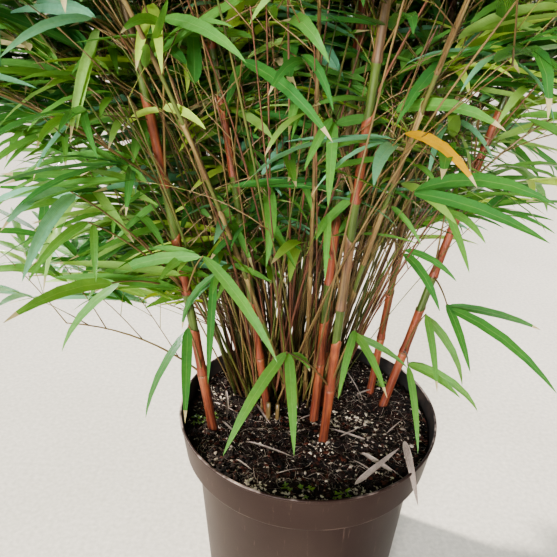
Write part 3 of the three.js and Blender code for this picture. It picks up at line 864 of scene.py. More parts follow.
def compost_body(surface, rows=110, columns=300):
    """The compost's relief: rings from the middle to the wall, each point at the height that the lumps
    give, then down the wall and across the pot's floor to close it."""
    edge = inner_radius(COMPOST_TOP - FILL_LIP) - 2 * GAP
    ledge = POT_HIGH.z / MM - COLLAR_HEIGHT + WALL + GAP
    wall = np.array([(BASE_RADIUS - WALL, FLOOR + GAP), (COLLAR_FOOT_RADIUS - COLLAR_STEP - WALL, ledge),
                     (inner_radius(ledge), ledge)]) - [2 * GAP, 0]
    turn = full_turn(columns)
    out = np.concatenate([wall[:, :1], np.linspace(edge, 0, rows)[:-1, None]])
    x, y = out * np.cos(turn), out * np.sin(turn)
    height = compost_height(x, y)
    height[: len(wall)] = wall[:, 1:]
    ends = [[0, 0, FLOOR + GAP], [0, 0, float(compost_height(0.0, 0.0))]]
    add_skins(surface, stacked(x, y, height)[None], np.array([ends]), (np.arange(len(out)) / len(out))[None])


def icosahedron():
    """Twelve corners and twenty faces on a ball."""
    g = (1 + 5**0.5) / 2
    corners = np.array([(-1, g, 0), (1, g, 0), (-1, -g, 0), (1, -g, 0), (0, -1, g), (0, 1, g), (0, -1, -g),
                        (0, 1, -g), (g, 0, -1), (g, 0, 1), (-g, 0, -1), (-g, 0, 1)])
    faces = np.array([(0, 11, 5), (0, 5, 1), (0, 1, 7), (0, 7, 10), (0, 10, 11), (1, 5, 9), (5, 11, 4),
                      (11, 10, 2), (10, 7, 6), (7, 1, 8), (3, 9, 4), (3, 4, 2), (3, 2, 6), (3, 6, 8),
                      (3, 8, 9), (4, 9, 5), (2, 4, 11), (6, 2, 10), (8, 6, 7), (9, 8, 1)])
    return corners / np.linalg.norm(corners, axis=1, keepdims=True), faces


def turned_about(points, axis, angle):
    """Points (n, m, 3) turned about a unit axis (n, 3) by an angle (n): Rodrigues' formula."""
    axis, angle = axis[:, None], angle[:, None, None]
    return (points * np.cos(angle) + np.cross(axis, points) * np.sin(angle)
            + axis * (points * axis).sum(-1, keepdims=True) * (1 - np.cos(angle)))


# A crumb: how far its corners lie in or out, its length, width and height as shares of its size, and how
# far it tilts
CRUMB = dict(corners=(0.45, 1.4), length=(0.8, 1.9), width=(0.6, 1.0), height=(0.5, 1.2), tilt=(-0.6, 0.6))


def add_crumbs(surface, x, y, size, seed, flat, lift=0.2, look=0):
    """Crumbs: a ball of twenty faces for each, its corners pushed in or out by chance, drawn out, laid
    down flat and turned, and sunk into the compost."""
    ball, faces = icosahedron()
    i = np.arange(len(x))
    corner = np.arange(len(ball))
    rough = between(*CRUMB["corners"], i[:, None], corner[None], seed)
    points = ball[None] * rough[..., None]
    scale = stacked(between(*CRUMB["length"], i, 2, seed), between(*CRUMB["width"], i, 3, seed),
                    flat * between(*CRUMB["height"], i, 4, seed))
    points = points * (scale * size[:, None] / 2)[:, None]
    axis = heading(360 * chance(i, 5, seed), between(0, 180, i, 6, seed))
    points = turned_about(points, axis, between(*CRUMB["tilt"], i, 7, seed))
    points = turned_about(points, np.tile([0.0, 0.0, 1.0], (len(x), 1)), 2 * np.pi * chance(i, 8, seed))
    centre = stacked(x, y, compost_height(x, y) + lift * size)
    surface.add(points + centre[:, None], repeated(faces, len(x), len(ball)),
                np.zeros((len(x) * len(faces), 3, 2)), look)


def on_disc(count, seed, outer=1.0):
    """Even places on the compost, by chance, out to a share of its radius."""
    i = np.arange(count)
    edge = inner_radius(COMPOST_TOP) - 3
    out = edge * np.sqrt(outer**2 * chance(i, 1, seed))
    turn = 2 * np.pi * chance(i, 2, seed)
    return out * np.cos(turn), out * np.sin(turn)


def add_threads(surface, count, seed, lengths, look):
    """Fibres and straws that lie on the compost: each bends one way on the level and rises and dips a
    little, and follows the compost's height."""
    x, y = on_disc(count, seed, 0.94)
    i = np.arange(count)
    t = np.linspace(-0.5, 0.5, 8)
    length = between(*lengths, i, 3, seed)
    turn = 2 * np.pi * chance(i, 4, seed)
    bow = between(-0.35, 0.35, i, 5, seed) * length
    go, across = t[None] * length[:, None], bow[:, None] * (4 * t[None] ** 2 - 1)
    px = x[:, None] + go * np.cos(turn)[:, None] - across * np.sin(turn)[:, None]
    py = y[:, None] + go * np.sin(turn)[:, None] + across * np.cos(turn)[:, None]
    px, py = inside_pot(px, py, 3)
    lift = between(0.2, 2.4, i, 6, seed)[:, None] * (0.6 + t[None] * between(-2, 2, i, 7, seed)[:, None])
    lines = stacked(px, py, compost_height(px, py) + np.abs(lift))
    radii = between(0.5, 1.0, i, 8, seed)[:, None] * THREAD_RADIUS * (1 - 1.2 * t[None] ** 2)
    add_tubes(surface, lines, radii, np.degrees(turn) + 90, 4, look)


# Kinds of crumb: the share, the seed and how much larger the largest are. Most are dark, many are bark,
# some are reddish and some are dry chips.
CRUMB_KINDS = [(0.4, 11, 3.4), (0.32, 12, 3.4), (0.19, 13, 3.2), (0.09, 14, 3.0)]
# The lengths of the reddish fibres and of the straws, and their radius
THREAD_LENGTHS = ((8, 34), (8, 44))
THREAD_RADIUS = 0.42
# Grains of grit all over, and heaps: the middle, the half width in X and Y, how many grains, and their size
LOOSE_GRIT = 700
GRIT_HEAPS = [(-54, -112, 14, 9, 42, 2.6), (-24, -123, 22, 9, 80, 2.4), (16, -124, 12, 6, 26, 2.2),
              (48, -116, 14, 7, 24, 2.0), (46, -2, 26, 16, 60, 2.8), (12, -52, 16, 14, 26, 2.2),
              (-96, 34, 16, 12, 20, 2.4)]
# Patches of seedlings: the middle, the width and how many
SPROUT_PATCHES = [(-112, -14, 26, 14), (-10, -116, 30, 10), (30, -118, 18, 8), (-62, 92, 34, 10),
                  (88, 62, 24, 8)]
SPROUT_LEAVES = 4
# Dead blades on the compost: the pixels of both ends in the photograph, and the width
STRAWS_IN_VIEW = [
    ((354, 488), (400, 452), 6.5), ((361, 454), (404, 481), 6), ((247, 446), (298, 463), 3.4),
    ((325, 428), (398, 453), 3), ((226, 392), (229, 424), 4), ((256, 404), (270, 427), 2.6),
    ((344, 370), (366, 405), 2.2), ((214, 402), (236, 412), 3), ((222, 424), (238, 440), 3),
    ((340, 440), (368, 428), 2), ((371, 474), (352, 462), 2.4), ((236, 462), (252, 474), 2.6),
    ((386, 438), (402, 425), 2.4), ((300, 420), (316, 414), 3), ((420, 418), (408, 402), 3),
    ((262, 386), (244, 396), 3.4), ((356, 398), (376, 391), 3), ((276, 478), (302, 472), 2),
]
# The dead blade that lies over the rim: the pixels of its root and tip, its root's height over the
# compost, its length and its width
RIM_BLADE = dict(root=(404, 441), tip=(418, 506), lift=24, length=66, width=9)


class BAMBOO_OT_compost(Operator):
    """Fill the pot with compost, crumbs, fibres, grit and seedlings"""

    bl_idname = "bamboo.compost"
    bl_label = "Compost"

    def execute(self, context):
        look = context.scene.bamboo_compost
        relief = Surface()
        compost_body(relief)
        dark = plain_material("compost_dark", look.dark, look.brown, 0.8, 90.0, 500.0, 1.2, 0.6)
        relief.piece("compost_fill", [dark], "compost", ["compost"])
        self.crumbs(look, dark)
        self.threads(look)
        self.grit(look)
        self.sprouts(look)
        return {"FINISHED"}

    def crumbs(self, look, dark):
        """Crumbs of all kinds, each kind's size by a power of chance."""
        brown = plain_material("crumb_bark", look.brown, look.dark, 0.72, 160.0, 600.0, 0.8)
        red = plain_material("crumb_fibre", look.red, look.brown, 0.7, 160.0, 600.0, 0.8)
        chip = plain_material("crumb_chip", look.pale, look.brown, 0.8, 160.0, 600.0, 0.8, 0.6)
        crumbs = Surface()
        for number, (share, seed, most) in enumerate(CRUMB_KINDS):
            count = int(look.crumbs * share)
            x, y = on_disc(count, seed)
            size = 1.0 + most * chance(np.arange(count), 3, seed) ** 3
            add_crumbs(crumbs, x, y, size, seed, 0.6, 0.18, number)
        crumbs.piece("compost_crumbs", [dark, brown, red, chip], "compost", smooth=False)

    def threads(self, look):
        threads = Surface()
        red = plain_material("thread_red", look.red, look.brown, 0.85, 120.0, 500.0, 0.3)
        straw = plain_material("thread_straw", look.pale, look.brown, 0.7, 90.0, 500.0, 0.3, 0.5)
        for number, lengths in enumerate(THREAD_LENGTHS):
            add_threads(threads, look.threads // 2, 21 + number, lengths, number)
        threads.piece("compost_threads", [red, straw], "compost")

    def grit(self, look):
        """Pale grit in heaps at the front edge and by the canes, with a little all over."""
        grit = Surface()
        pale = plain_material("grit_pale", look.grit, look.pale, 0.85, 200.0, 500.0, 0.5)
        x, y = on_disc(LOOSE_GRIT, 31)
        add_crumbs(grit, x, y, 0.7 + 1.9 * chance(np.arange(LOOSE_GRIT), 3, 31) ** 3, 31, 0.8)
        for seed, (x, y, wide, deep, count, size) in enumerate(GRIT_HEAPS, 70):
            i = np.arange(count)
            turn, out = 2 * np.pi * chance(i, 1, seed), chance(i, 2, seed) ** 0.7
            px, py = inside_pot(x + wide * out * np.cos(turn), y + deep * out * np.sin(turn), 4)
            add_crumbs(grit, px, py, size * between(0.5, 1.3, i, 3, seed), seed, 0.8, 0.4)
        grit.piece("compost_grit", [pale], "compost", smooth=False)

    def sprouts(self, look):
        """Tiny seedlings in patches, each with four round leaves."""
        sprouts = Surface()
        green = leaf_material("sprout_green", look.sprout, "B5D84A", "C6DE8A", 0.5)
        spots = []
        for seed, (x, y, wide, count) in enumerate(SPROUT_PATCHES, 40):
            i = np.arange(count)
            spots.append((x + wide * (chance(i, 1, seed) - 0.5), y + wide * 0.6 * (chance(i, 2, seed) - 0.5)))
        x, y = (np.repeat(part, SPROUT_LEAVES) for part in inside_pot(*np.concatenate(spots, axis=1), 4))
        i = np.arange(len(x))
        root = stacked(x, y, compost_height(x, y) + 1.5)
        blades = dict(root=root, toward=90.0 * i + 40 * chance(i, 5), lean=between(40, 85, i, 6),
                      droop=between(20, 50, i, 7), length=between(2.2, 4.6, i, 8),
                      width=between(1.5, 2.6, i, 9), roll=between(-10, 10, i, 1), twist=np.zeros(len(i)),
                      swing=np.zeros(len(i)), fold=np.full(len(i), 0.1))
        add_blades(sprouts, blades)
        sprouts.piece("compost_sprouts", [green], "leaf")


class BAMBOO_OT_litter(Operator):
    """Lay dead blades on the compost, with one over the rim"""

    bl_idname = "bamboo.litter"
    bl_label = "Dead blades"

    def execute(self, context):
        look = context.scene.bamboo_compost
        ends = np.array([[at_height(pixel, COMPOST_TOP) for pixel in pair[:2]] for pair in STRAWS_IN_VIEW])
        width = np.array([pair[2] for pair in STRAWS_IN_VIEW], float)
        i = np.arange(len(width))
        chord = ends[:, 1] - ends[:, 0]
        length = np.linalg.norm(chord, axis=1)
        start = ends[:, 0]
        start[:, 2] = compost_height(start[:, 0], start[:, 1]) + between(2.0, 4.5, i, 1, 51)
        blades = dict(root=start, toward=np.degrees(np.arctan2(chord[:, 1], chord[:, 0])), length=length,
                      width=width)
        ranges = dict(lean=(84, 88), droop=(4, 12), roll=(-20, 20), twist=(-50, 50), swing=(-9, 9),
                      fold=(0.2, 0.6))
        for key, (name, limits) in enumerate(ranges.items(), 2):
            blades[name] = between(*limits, i, key, 51)
        rim = RIM_BLADE
        root = at_height(rim["root"], COMPOST_TOP + rim["lift"])
        leaf = leaf_to(root, at_reach(rim["tip"], root, rim["length"], 1), 3)
        leaf.update(width=rim["width"], roll=14.0, twist=40.0, fold=0.5)
        litter = Surface()
        add_blades(litter, {key: np.concatenate([blades[key], [leaf[key]]]) for key in blades})
        dry = finish_material("blade_dead", 0.65, 0.5, 0.3, look.dead, patches("4E3E38", 0.7, 70.0, 400.0),
                              streaks("C4B6AA", 0.6, 9.0, 3.0))
        litter.piece("compost_dead_blades", [dry], "leaf")
        return {"FINISHED"}


# Canes and sheaths


class CaneLook(PropertyGroup):
    sides: IntProperty(name="Sides", description="Faces round a main cane", default=18, min=6)
    relief: FloatProperty(name="Joint relief", description="How far a joint's ridge stands out, as a share",
                          default=0.16, subtype="FACTOR")
    cover: FloatProperty(name="Sheath cover", description="The share of a joint's span that a sheath covers",
                         default=0.68, subtype="FACTOR")
    green: colour_property("Cane", "Bare cane", "3E4E1B")
    shade: colour_property("Cane shade", "Darker tint on the cane", "2C3815")
    wax: colour_property("Wax", "Pale streaks on the cane", "5E6A36")
    sheath: colour_property("Sheath", "A fresh sheath at its foot", "6A2E16")
    sheath_top: colour_property("Sheath top", "A fresh sheath at its edge", "8E5030")
    band: colour_property("Band", "The dark line at a sheath's foot", "3C150C")
    dry: colour_property("Dry sheath", "An old sheath at its foot", "4A391F")
    dry_top: colour_property("Dry sheath top", "An old sheath at its edge", "78623E")
    tan: colour_property("Thin cane", "Thin brown canes", "5A4826")
    twig: colour_property("Twig", "Green twigs", "66782E")


# Bell curves along a cane: the height of each, its distance from the joint and its width. A joint has a
# soft swelling with a sharp ridge, a groove over it and a second, lower ridge, and a sheath hugs them.
JOINT_BELLS = ((0.35, 0, 7), (0.75, 0, 1.1), (-0.35, 2.4, 1.0), (0.5, 4.6, 1.4))
SHEATH_BELLS = ((0.35, 0, 7), (0.9, 0, 3.2), (0.4, 4.6, 2))
# How far apart a cane's rings are, and where more stand about each joint
RING_STEP = 9.0
JOINT_RINGS = np.array([-9, -5, -2.4, -1.2, -0.5, 0, 0.6, 1.4, 2.4, 3.4, 4.6, 6, 8.5])


def bells(off, rows):
    """The sum of bell curves, each with its height, its middle and its width."""
    return sum(high * np.exp(-(((off - middle) / width) ** 2)) for high, middle, width in rows)


def joint_relief(cane, s, relief):
    """How much wider a cane is near its joints."""
    return 1 + relief * bells(s[:, None] - cane["joints"][None], JOINT_BELLS).sum(axis=1)


def cane_stations(cane, sunk):
    """Distances from the foot where a cane has a ring: every few millimetres, closer at its joints."""
    plain = np.arange(-sunk, cane["far"][-1], RING_STEP)
    close = cane["joints"][:, None] + JOINT_RINGS
    return np.unique(np.round(np.concatenate([plain, close.ravel(), [cane["far"][-1]]]), 2))


def add_cane(surface, cane, sides, relief, look=0, sunk=9.0):
    """A cane: rings along its whole line, wide at its joints, with slow flats and ripples round it."""
    s = cane_stations(cane, sunk)
    s = s[s <= cane["far"][-1]]
    point, _ = cane_at(cane, s)
    turn, up = full_turn(sides)[None], s[:, None]
    flats = 1 + 0.02 * np.sin(2 * turn + up / 90) + 0.012 * np.sin(5 * turn + up / 37)
    radius = (cane_radius(cane, s) * joint_relief(cane, s, relief))[:, None] * flats
    add_tubes(surface, point[None], radius[None], np.array([cane["toward"]], float), sides, look)


def sheath_top_edge(turn, lift):
    """The share of a sheath's height at each angle round it: cut aslant, with one slender point. With no
    point it is cut square."""
    slant = 0.07 - 0.05 * np.cos(turn) if lift else 0.0
    return 1 - slant + bells(np.angle(np.exp(1j * turn)), [(lift, 0, 0.34)])


def add_sheath(surface, cane, s0, height, face, seed, look, columns, at_joint, square):
    """A papery sheath wrapped on a cane: u goes once round it and a little over its own edge, and v from
    its foot to a slanting top. It hugs the cane and the ridges of the joint that it starts from, stands
    off a little more at its edge, and its wall is closed over the top and back down inside."""
    u = np.linspace(-0.04, 1.04, columns)
    turn = u * 2 * np.pi
    v, rows = SHEATH_ROWS, len(SHEATH_ROWS)
    top = sheath_top_edge(turn - np.pi, 0 if square else between(0.05, 0.13, seed, 1))
    s = s0 + height * v[:, None] * top[None]
    point, way = cane_at(cane, s)
    side = level_side(np.asarray(cane["toward"], float))
    out = np.cross(np.broadcast_to(side, way.shape), way)
    angle = turn[None] + math.radians(face)
    around = out * np.cos(angle)[..., None] + side * np.sin(angle)[..., None]
    overlap = 0.3 * np.clip((u - 0.5) / 0.54, 0, 1)[None] ** 3
    swell = 0.2 + overlap + 0.55 * v[:, None] ** 9 + 0.07 * np.sin(3 * turn[None] + 9 * v[:, None] + seed)
    ridge = (0.17 if at_joint else 0.02) * bells(s - s0, SHEATH_BELLS)
    radius = cane_radius(cane, s) * (1.01 + ridge) + swell
    outer = point + around * radius[..., None]
    inner = (point + around * (radius - 0.3)[..., None])[::-1][: rows // 2]
    skin = np.concatenate([outer, inner])
    quads, row, column = grid_quads(len(skin), columns, False)
    level = np.concatenate([v, v[::-1][: rows // 2]])
    uv = stacked(u[column], level[row])
    surface.add(skin, quads, uv, look)


# Where a sheath has a ring of points, from its foot to its top: close together over the joint's ridges
SHEATH_ROWS = np.array([0, 0.012, 0.028, 0.046, 0.075, 0.14, 0.28, 0.44, 0.6, 0.75, 0.88, 0.96, 1])
# The most of a span between joints that a sheath covers
WHOLE_SPAN = 0.99
# The sheaths of main and thin canes: how far below the compost the first one's foot is, how far over its
# joint each starts, how much the share that it covers and the way it faces vary, where along the cane the
# last one may start, how many spans are covered whole, the seeds of the two chances and of the first
# sheath, its columns of points, and the share of old ones by their joint's number from the foot
MAIN_SHEATHS = dict(foot=-4, off=0.4, varies=0.16, turns=50, last=0.86, whole=1, seeds=(61, 63), first=0,
                    columns=22, old=(0.05, 0.05, 0.15, 0.35, 0.75, 0.85, 0.9))
THIN_SHEATHS = dict(foot=-2, off=0.3, varies=0.2, turns=60, last=1, whole=0, seeds=(64, 65), first=200,
                    columns=12, old=(0,))
THIN_COVER = 0.72


def add_sheaths(surface, cane, number, cover, rule):
    """A sheath on each span between a cane's joints, on opposite sides by turns."""
    ends = np.concatenate([[rule["foot"]], cane["joints"], cane["far"][-1:]])
    for k, (low, high) in enumerate(zip(ends[:-1], ends[1:])):
        if low > rule["last"] * cane["far"][-1]:
            break
        whole = k < rule["whole"]
        more, turned = (chance(number, k, seed) for seed in rule["seeds"])
        share = WHOLE_SPAN if whole else min(cover + rule["varies"] * (more - 0.5), WHOLE_SPAN)
        old = chance(number, k, 62) < rule["old"][min(k, len(rule["old"]) - 1)]
        add_sheath(surface, cane, low + rule["off"], (high - low) * share, 180.0 * k + rule["turns"] * turned,
                   rule["first"] + number * 10 + k, int(old), rule["columns"], k > 0, whole)


class BAMBOO_OT_canes(Operator):
    """Build the main canes with their joints"""

    bl_idname = "bamboo.canes"
    bl_label = "Main canes"

    def execute(self, context):
        look = context.scene.bamboo_canes
        green = cane_material("cane_green", look.green, look.wax, look.shade, 0.38)
        for cane in CANES:
            surface = Surface()
            add_cane(surface, cane, look.sides, look.relief)
            surface.piece("cane_" + cane["name"] + "_bark", [green], "cane", ["cane_" + cane["name"]])
        return {"FINISHED"}


class BAMBOO_OT_sheaths(Operator):
    """Wrap a papery sheath round each joint's span of the canes"""

    bl_idname = "bamboo.sheaths"
    bl_label = "Sheaths"

    def execute(self, context):
        look = context.scene.bamboo_canes
        fresh = sheath_material("sheath_fresh", look.sheath, look.sheath_top, "64281A", look.band)
        dry = sheath_material("sheath_dry", look.dry, look.dry_top, "6A4030", "2E1E12")
        for number, cane in enumerate(CANES):
            surface = Surface()
            add_sheaths(surface, cane, number, look.cover, MAIN_SHEATHS)
            surface.piece("cane_" + cane["name"] + "_sheaths", [fresh, dry], "cane")
        surface = Surface()
        for number, cane in enumerate(THIN_CANES):
            add_sheaths(surface, cane, number, THIN_COVER, THIN_SHEATHS)
        brown = sheath_material("sheath_brown", "4C3E22", "857246", "5A4228", look.band)
        surface.piece("thin_cane_sheaths", [brown], "thin_cane")
        return {"FINISHED"}


# Finer stems of the bundle: how many, the oval they stand on, and how they fan out
BUNDLE = dict(count=340, x=-22, y=52, wide=66, deep=36, lean=1.5, lean_more=22, arch=3, arch_more=24,
              length=(240, 640), radius=(0.5, 1.5))
BUNDLE_POWER = 1.6
BUNDLE_STEPS = 15


def bundle_stems():
    """Stems that fill the clump behind its middle: they stand on an oval by the golden angle, and lean
    further the further out they stand. A stem that would cut through a cane is left out."""
    rule = BUNDLE
    i = np.arange(rule["count"])
    share = np.sqrt((i + 0.5) / rule["count"])
    x = rule["x"] + rule["wide"] * share * np.cos(np.radians(GOLDEN_ANGLE * i))
    y = rule["y"] + rule["deep"] * share * np.sin(np.radians(GOLDEN_ANGLE * i))
    start = stacked(x, y, COMPOST_TOP - 6.0)
    toward = np.degrees(np.arctan2(y - rule["y"] + 6, x - rule["x"])) + between(-75, 75, i, 1, 71)
    stems = limbs(start, toward, rule["lean"] + rule["lean_more"] * share * between(0.4, 1.0, i, 2, 71),
                  varied(rule, "arch", i, 3, 71), between(*rule["length"], i, 4, 71), BUNDLE_STEPS,
                  BUNDLE_POWER, between(*rule["radius"], i, 5, 71), i)
    low = stems["lines"][:, : BUNDLE_STEPS // 2].reshape(-1, 3)
    near = np.min([distance_to_line(low, cane["bare"]) - cane["thick"] / 2 for cane in CANES + THIN_CANES],
                  axis=0)
    crowded = near.reshape(len(i), -1).min(axis=1) < stems["radius"] + 0.4
    return chosen({**stems, "round": np.ones(len(i), bool)}, ~crowded)


def limbs(start, toward, lean, arch, length, steps, power, radius, parent):
    """Many limbs of one kind, with the numbers that set them and the number of what carries each."""
    toward, lean, arch, length, radius = np.broadcast_arrays(toward, lean, arch, length, radius)
    return dict(lines=sweep(start, toward, lean, arch, length, steps, power), toward=toward, lean=lean,
                arch=arch, length=length, radius=radius, parent=parent, round=np.zeros(len(parent), bool))


def chosen(stems, keep):
    return {key: value[keep] for key, value in stems.items()}


class BAMBOO_OT_thin_canes(Operator):
    """Build the thin canes, the bundle of fine stems behind the middle and the cut stubs"""

    bl_idname = "bamboo.thin_canes"
    bl_label = "Thin canes"

    def execute(self, context):
        look = context.scene.bamboo_canes
        olive = cane_material("thin_cane_olive", "404C20", look.wax, look.tan, 0.42)
        tan = cane_material("thin_cane_tan", "5E4A2A", "A08A5C", "3C2E1A", 0.45)
        red = cane_material("thin_cane_red", "563122", "8A6448", "38201A", 0.5)
        surface = Surface()
        for number, cane in enumerate(THIN_CANES):
            add_cane(surface, cane, 10, look.relief * 1.2, number % 2, 7.0)
        surface.piece("thin_canes_bark", [olive, tan], "thin_cane",
                      ["cane_" + cane["name"] for cane in THIN_CANES])
        stems, looks = bundle_stems(), [olive, tan, red]
        kind = (chance(stems["parent"], 6, 71) * len(looks)).astype(int)
        fine = Surface()
        for number in range(len(looks)):
            some = chosen(stems, kind == number)
            add_tubes(fine, some["lines"], stem_radii(some), some["toward"], 7, number)
        self.stubs(fine)
        fine.piece("bundle_stems", looks, "thin_cane")
        return {"FINISHED"}

    def stubs(self, surface):
        """Short dead stems, cut off square."""
        pixels, height, radius = zip(*STUBS_IN_VIEW)
        foot = np.array([at_height(pixel, COMPOST_TOP - STUB_SUNK) for pixel in pixels])
        tall = stacked(0.0, 0.0, np.array(height) + STUB_SUNK)
        lines = foot[:, None] + tall[:, None] * np.linspace(0, 1, 4)[None, :, None]
        add_tubes(surface, lines, np.repeat(np.array(radius)[:, None], 4, axis=1), np.zeros(len(foot)), 10, 1)


def stem_radii(stems, tip=0.5):
    """A stem's radius at each point of its line: it thins evenly, and swells by an eighth at its joints,
    three points apart."""
    rings = stems["lines"].shape[1]
    taper = stems["radius"][:, None] * (1 - (1 - tip) * np.linspace(0, 1, rings)[None])
    return taper * (1 + 0.12 * (np.arange(rings) % 3 == 0))[None]


# Leaves


class LeafLook(PropertyGroup):
    length: FloatProperty(name="Length", description="A full-grown blade", unit="LENGTH", default=0.118)
    width: FloatProperty(name="Width", description="A blade's width as a share of its length", default=0.11)
    dry: FloatProperty(name="Dry tips", description="The share of leaves with a dry tip", default=0.35,
                       subtype="FACTOR")
    mid: colour_property("Leaf", "Most of the leaves", "669C52")
    # painted shade: the deep leaf is a darker copy of the leaf colour that stands for leaves in shade
    deep: colour_property("Deep leaf", "Leaves in the shade", "467C44")
    # partly painted reflection: the cool leaf's pale bluish green is partly a bluish leaf colour and partly
    # sky reflected off glossy blades
    cool: colour_property("Cool leaf", "Bluish leaves", "7EB898")
    # partly painted light: the light and bright leaves are partly the paler colour of young leaves and partly
    # sunlight shining on and through the blades
    light: colour_property("Light leaf", "Young leaves", "9CC070")
    bright: colour_property("Bright leaf", "The brightest young leaves", "C0DA68")
    straw: colour_property("Straw", "Dry tips and dead leaves", "CDBB8C")
    gold: colour_property("Gold", "A leaf on the turn", "D09A24")


# Where a blade has a row of points, from its root at 0 to its tip at 1, and how many points a row has,
# also where it is seen close. How soon it is wide, the powers with which it narrows and bends down, and
# how many rows a dry tip has.
BLADE_ROWS = np.array([0.045, 0.14, 0.32, 0.54, 0.74, 0.89, 0.96])
BLADE_COLUMNS = 3
CLOSE_COLUMNS = 5
BLADE_SHOULDER = 0.065
BLADE_TAPER = 2.9
BLADE_BEND = 1.35
TIP_ROWS = 2


def blade_spine(blades, at):
    """Points of each blade's rib and its way there: it bends down by its droop with a power of the way
    along it, and swings sideways with its square."""
    fine = np.linspace(0, 1, 33)
    ways = [heading(blades["toward"][:, None] + blades["swing"][:, None] * t[None] ** 2,
                    blades["lean"][:, None] + blades["droop"][:, None] * t[None] ** BLADE_BEND)
            for t in (fine, at)]
    steps = (ways[0][:, :-1] + ways[0][:, 1:]) / 2 * (blades["length"] / (len(fine) - 1))[:, None, None]
    moves = np.concatenate([np.zeros_like(steps[:, :1]), np.cumsum(steps, axis=1)], axis=1)
    line = blades["root"][:, None] + moves
    place_on = at * (len(fine) - 1)
    low = np.minimum(place_on.astype(int), len(fine) - 2)
    part = (place_on - low)[None, :, None]
    return line[:, low] * (1 - part) + line[:, low + 1] * part, ways[1]


def add_blades(surface, blades, look=0, tip_look=0, columns=BLADE_COLUMNS):
    """Leaf blades, all at once. Rows run along the rib and columns across it, from 1 to -1. A point's
    distance from the rib is its column's share of the half width, which grows fast from the root and
    narrows with a power of the way to the tip. The blade is folded up along its rib, rolled and
    twisted, and a point closes each end."""
    count, rows = len(blades["length"]), len(BLADE_ROWS)
    at = np.concatenate([[0], BLADE_ROWS, [1]])
    spine, way = blade_spine(blades, at)
    flat = level_side(blades["toward"][:, None] + blades["swing"][:, None] * at[None] ** 2)
    face = -np.cross(flat, way)
    roll = np.radians(blades["roll"][:, None] + blades["twist"][:, None] * at[None])[..., None]
    side = flat * np.cos(roll) + face * np.sin(roll)
    face = face * np.cos(roll) - flat * np.sin(roll)
    w = np.linspace(1, -1, columns)[:, None]
    outline = (1 - np.exp(-BLADE_ROWS / BLADE_SHOULDER)) * (1 - BLADE_ROWS**BLADE_TAPER) ** 0.9
    half = blades["width"][:, None] / 2 * outline[None]
    fold = blades["fold"][:, None, None, None]
    off = side[:, 1:-1, None] * w * np.sqrt(1 - fold**2) + face[:, 1:-1, None] * np.abs(w) * fold
    skin = spine[:, 1:-1, None] + half[..., None, None] * off
    points = np.concatenate([skin.reshape(count, -1, 3), spine[:, :1], spine[:, -1:]], axis=1)
    quads, row, column = grid_quads(rows, columns, False)
    u, v, stride = np.arange(columns) / (columns - 1), BLADE_ROWS, rows * columns + 2
    uv = stacked(u[column], v[row])
    surface.add_points(points)
    outer = row[:, 0] >= rows - TIP_ROWS
    for part, number in ((~outer, look), (outer, tip_look)):
        surface.add_faces(repeated(quads[part], count, stride), np.tile(uv[part], (count, 1, 1)), number)
    c, end = np.arange(columns - 1), (rows - 1) * columns
    for corners, number, at_v, end_v in (((c + 1, c, rows * columns), look, v[0], 0),
                                         ((end + c, end + c + 1, rows * columns + 1), tip_look, v[-1], 1)):
        faces = stacked(*corners)
        pairs = np.stack([stacked(u[f % columns], at_v)
                          for f in corners[:2]] + [np.tile([0.5, end_v], (columns - 1, 1))], axis=1)
        surface.add_faces(repeated(faces, count, stride), np.tile(pairs, (count, 1, 1)), number)


# The source's rules for twigs and leaves. Here a mass has more twigs, each carries finer twigs, and
# each of those ends in a fan of leaves of their real size.
TWIG_RULE = dict(first=0.18, spaced=0.8, shifted=0.4, last=0.97, rank=38, rank_more=20, lean_more=22,
                 arch=(6, 26), size=0.8, size_more=0.4, radius=0.6)
TWIG_STEPS = 4
TWIG_POWER = 1.2
# Finer twigs: where they leave their twig, and how they stand off it. The last one goes nearly straight on
# and is shorter.
FINER_RULE = dict(first=0.34, spaced=0.5, shifted=0.5, rank=(24, 50), lean=(-20, 14), arch=(8, 26),
                  length=(34, 66), radius=0.38, end_rank=0.2, end_length=0.8)
LEAF_RULE = dict(first=0.5, spaced=0.46, splay=26, splay_more=26, end_splay=0.4, level=78, varied=26,
                 droop=10, droop_more=52, droop_power=1.6, roll=50, size=0.48, size_more=0.6, least=3,
                 more=3, sunk=2, width=(0.85, 1.15), twist=(-36, 36), swing=(-16, 16), fold=(0.08, 0.42))
TIP_MASS = dict(twigs=9, finer=4, spread=46, reach=112)
SIDE_MASS = dict(twigs=8, finer=4, spread=42, reach=84)
THIN_MASS = dict(twigs=7, finer=3, spread=44, reach=96)
MORE_MASS = dict(twigs=9, finer=4, spread=52, reach=84)
BUNDLE_MASS = dict(twigs=3, finer=2, spread=40, reach=70)
JOINT_MASS = dict(twigs=3, finer=2, spread=36, reach=66)
# More side branches than the source's, where the photograph's crown is thickest: the cane, and the
# joint and way of each
MORE_SIDES = dict(left=[(3, 178), (3, 216), (4, 200)], rear_left=[(2, 184), (3, 206), (3, 166), (4, 150)],
                  mid_left=[(3, 190), (3, 150)], back=[(3, 140), (3, 60)], right=[(4, 20)],
                  rear_right=[(4, 350)], back_right=[(3, 80), (4, 30)])
MORE_LEAN = 52
MORE_LEAN_VARIES = (-10, 6)
MORE_ARCH = 30
MORE_LENGTH = (190, 290)
# Branchlets at a cane's joints above its lowest, to a little past its bare part: how many, how they stand,
# and their size on a thin cane
JOINT_RULE = dict(from_joint=2, past=60, each=4, each_thin=2, lean=14, lean_more=34, arch=4, arch_more=22,
                  length=(100, 290), spread=56, turned=40, radius=0.65)
BRANCHLET_STEPS = 9
THIN_SIZE = 0.75
# How many leaves a finer twig keeps at least, and which share of its twigs a side branch, to stay
FEWEST_LEAVES = 2
FEWEST_TWIGS = 0.55
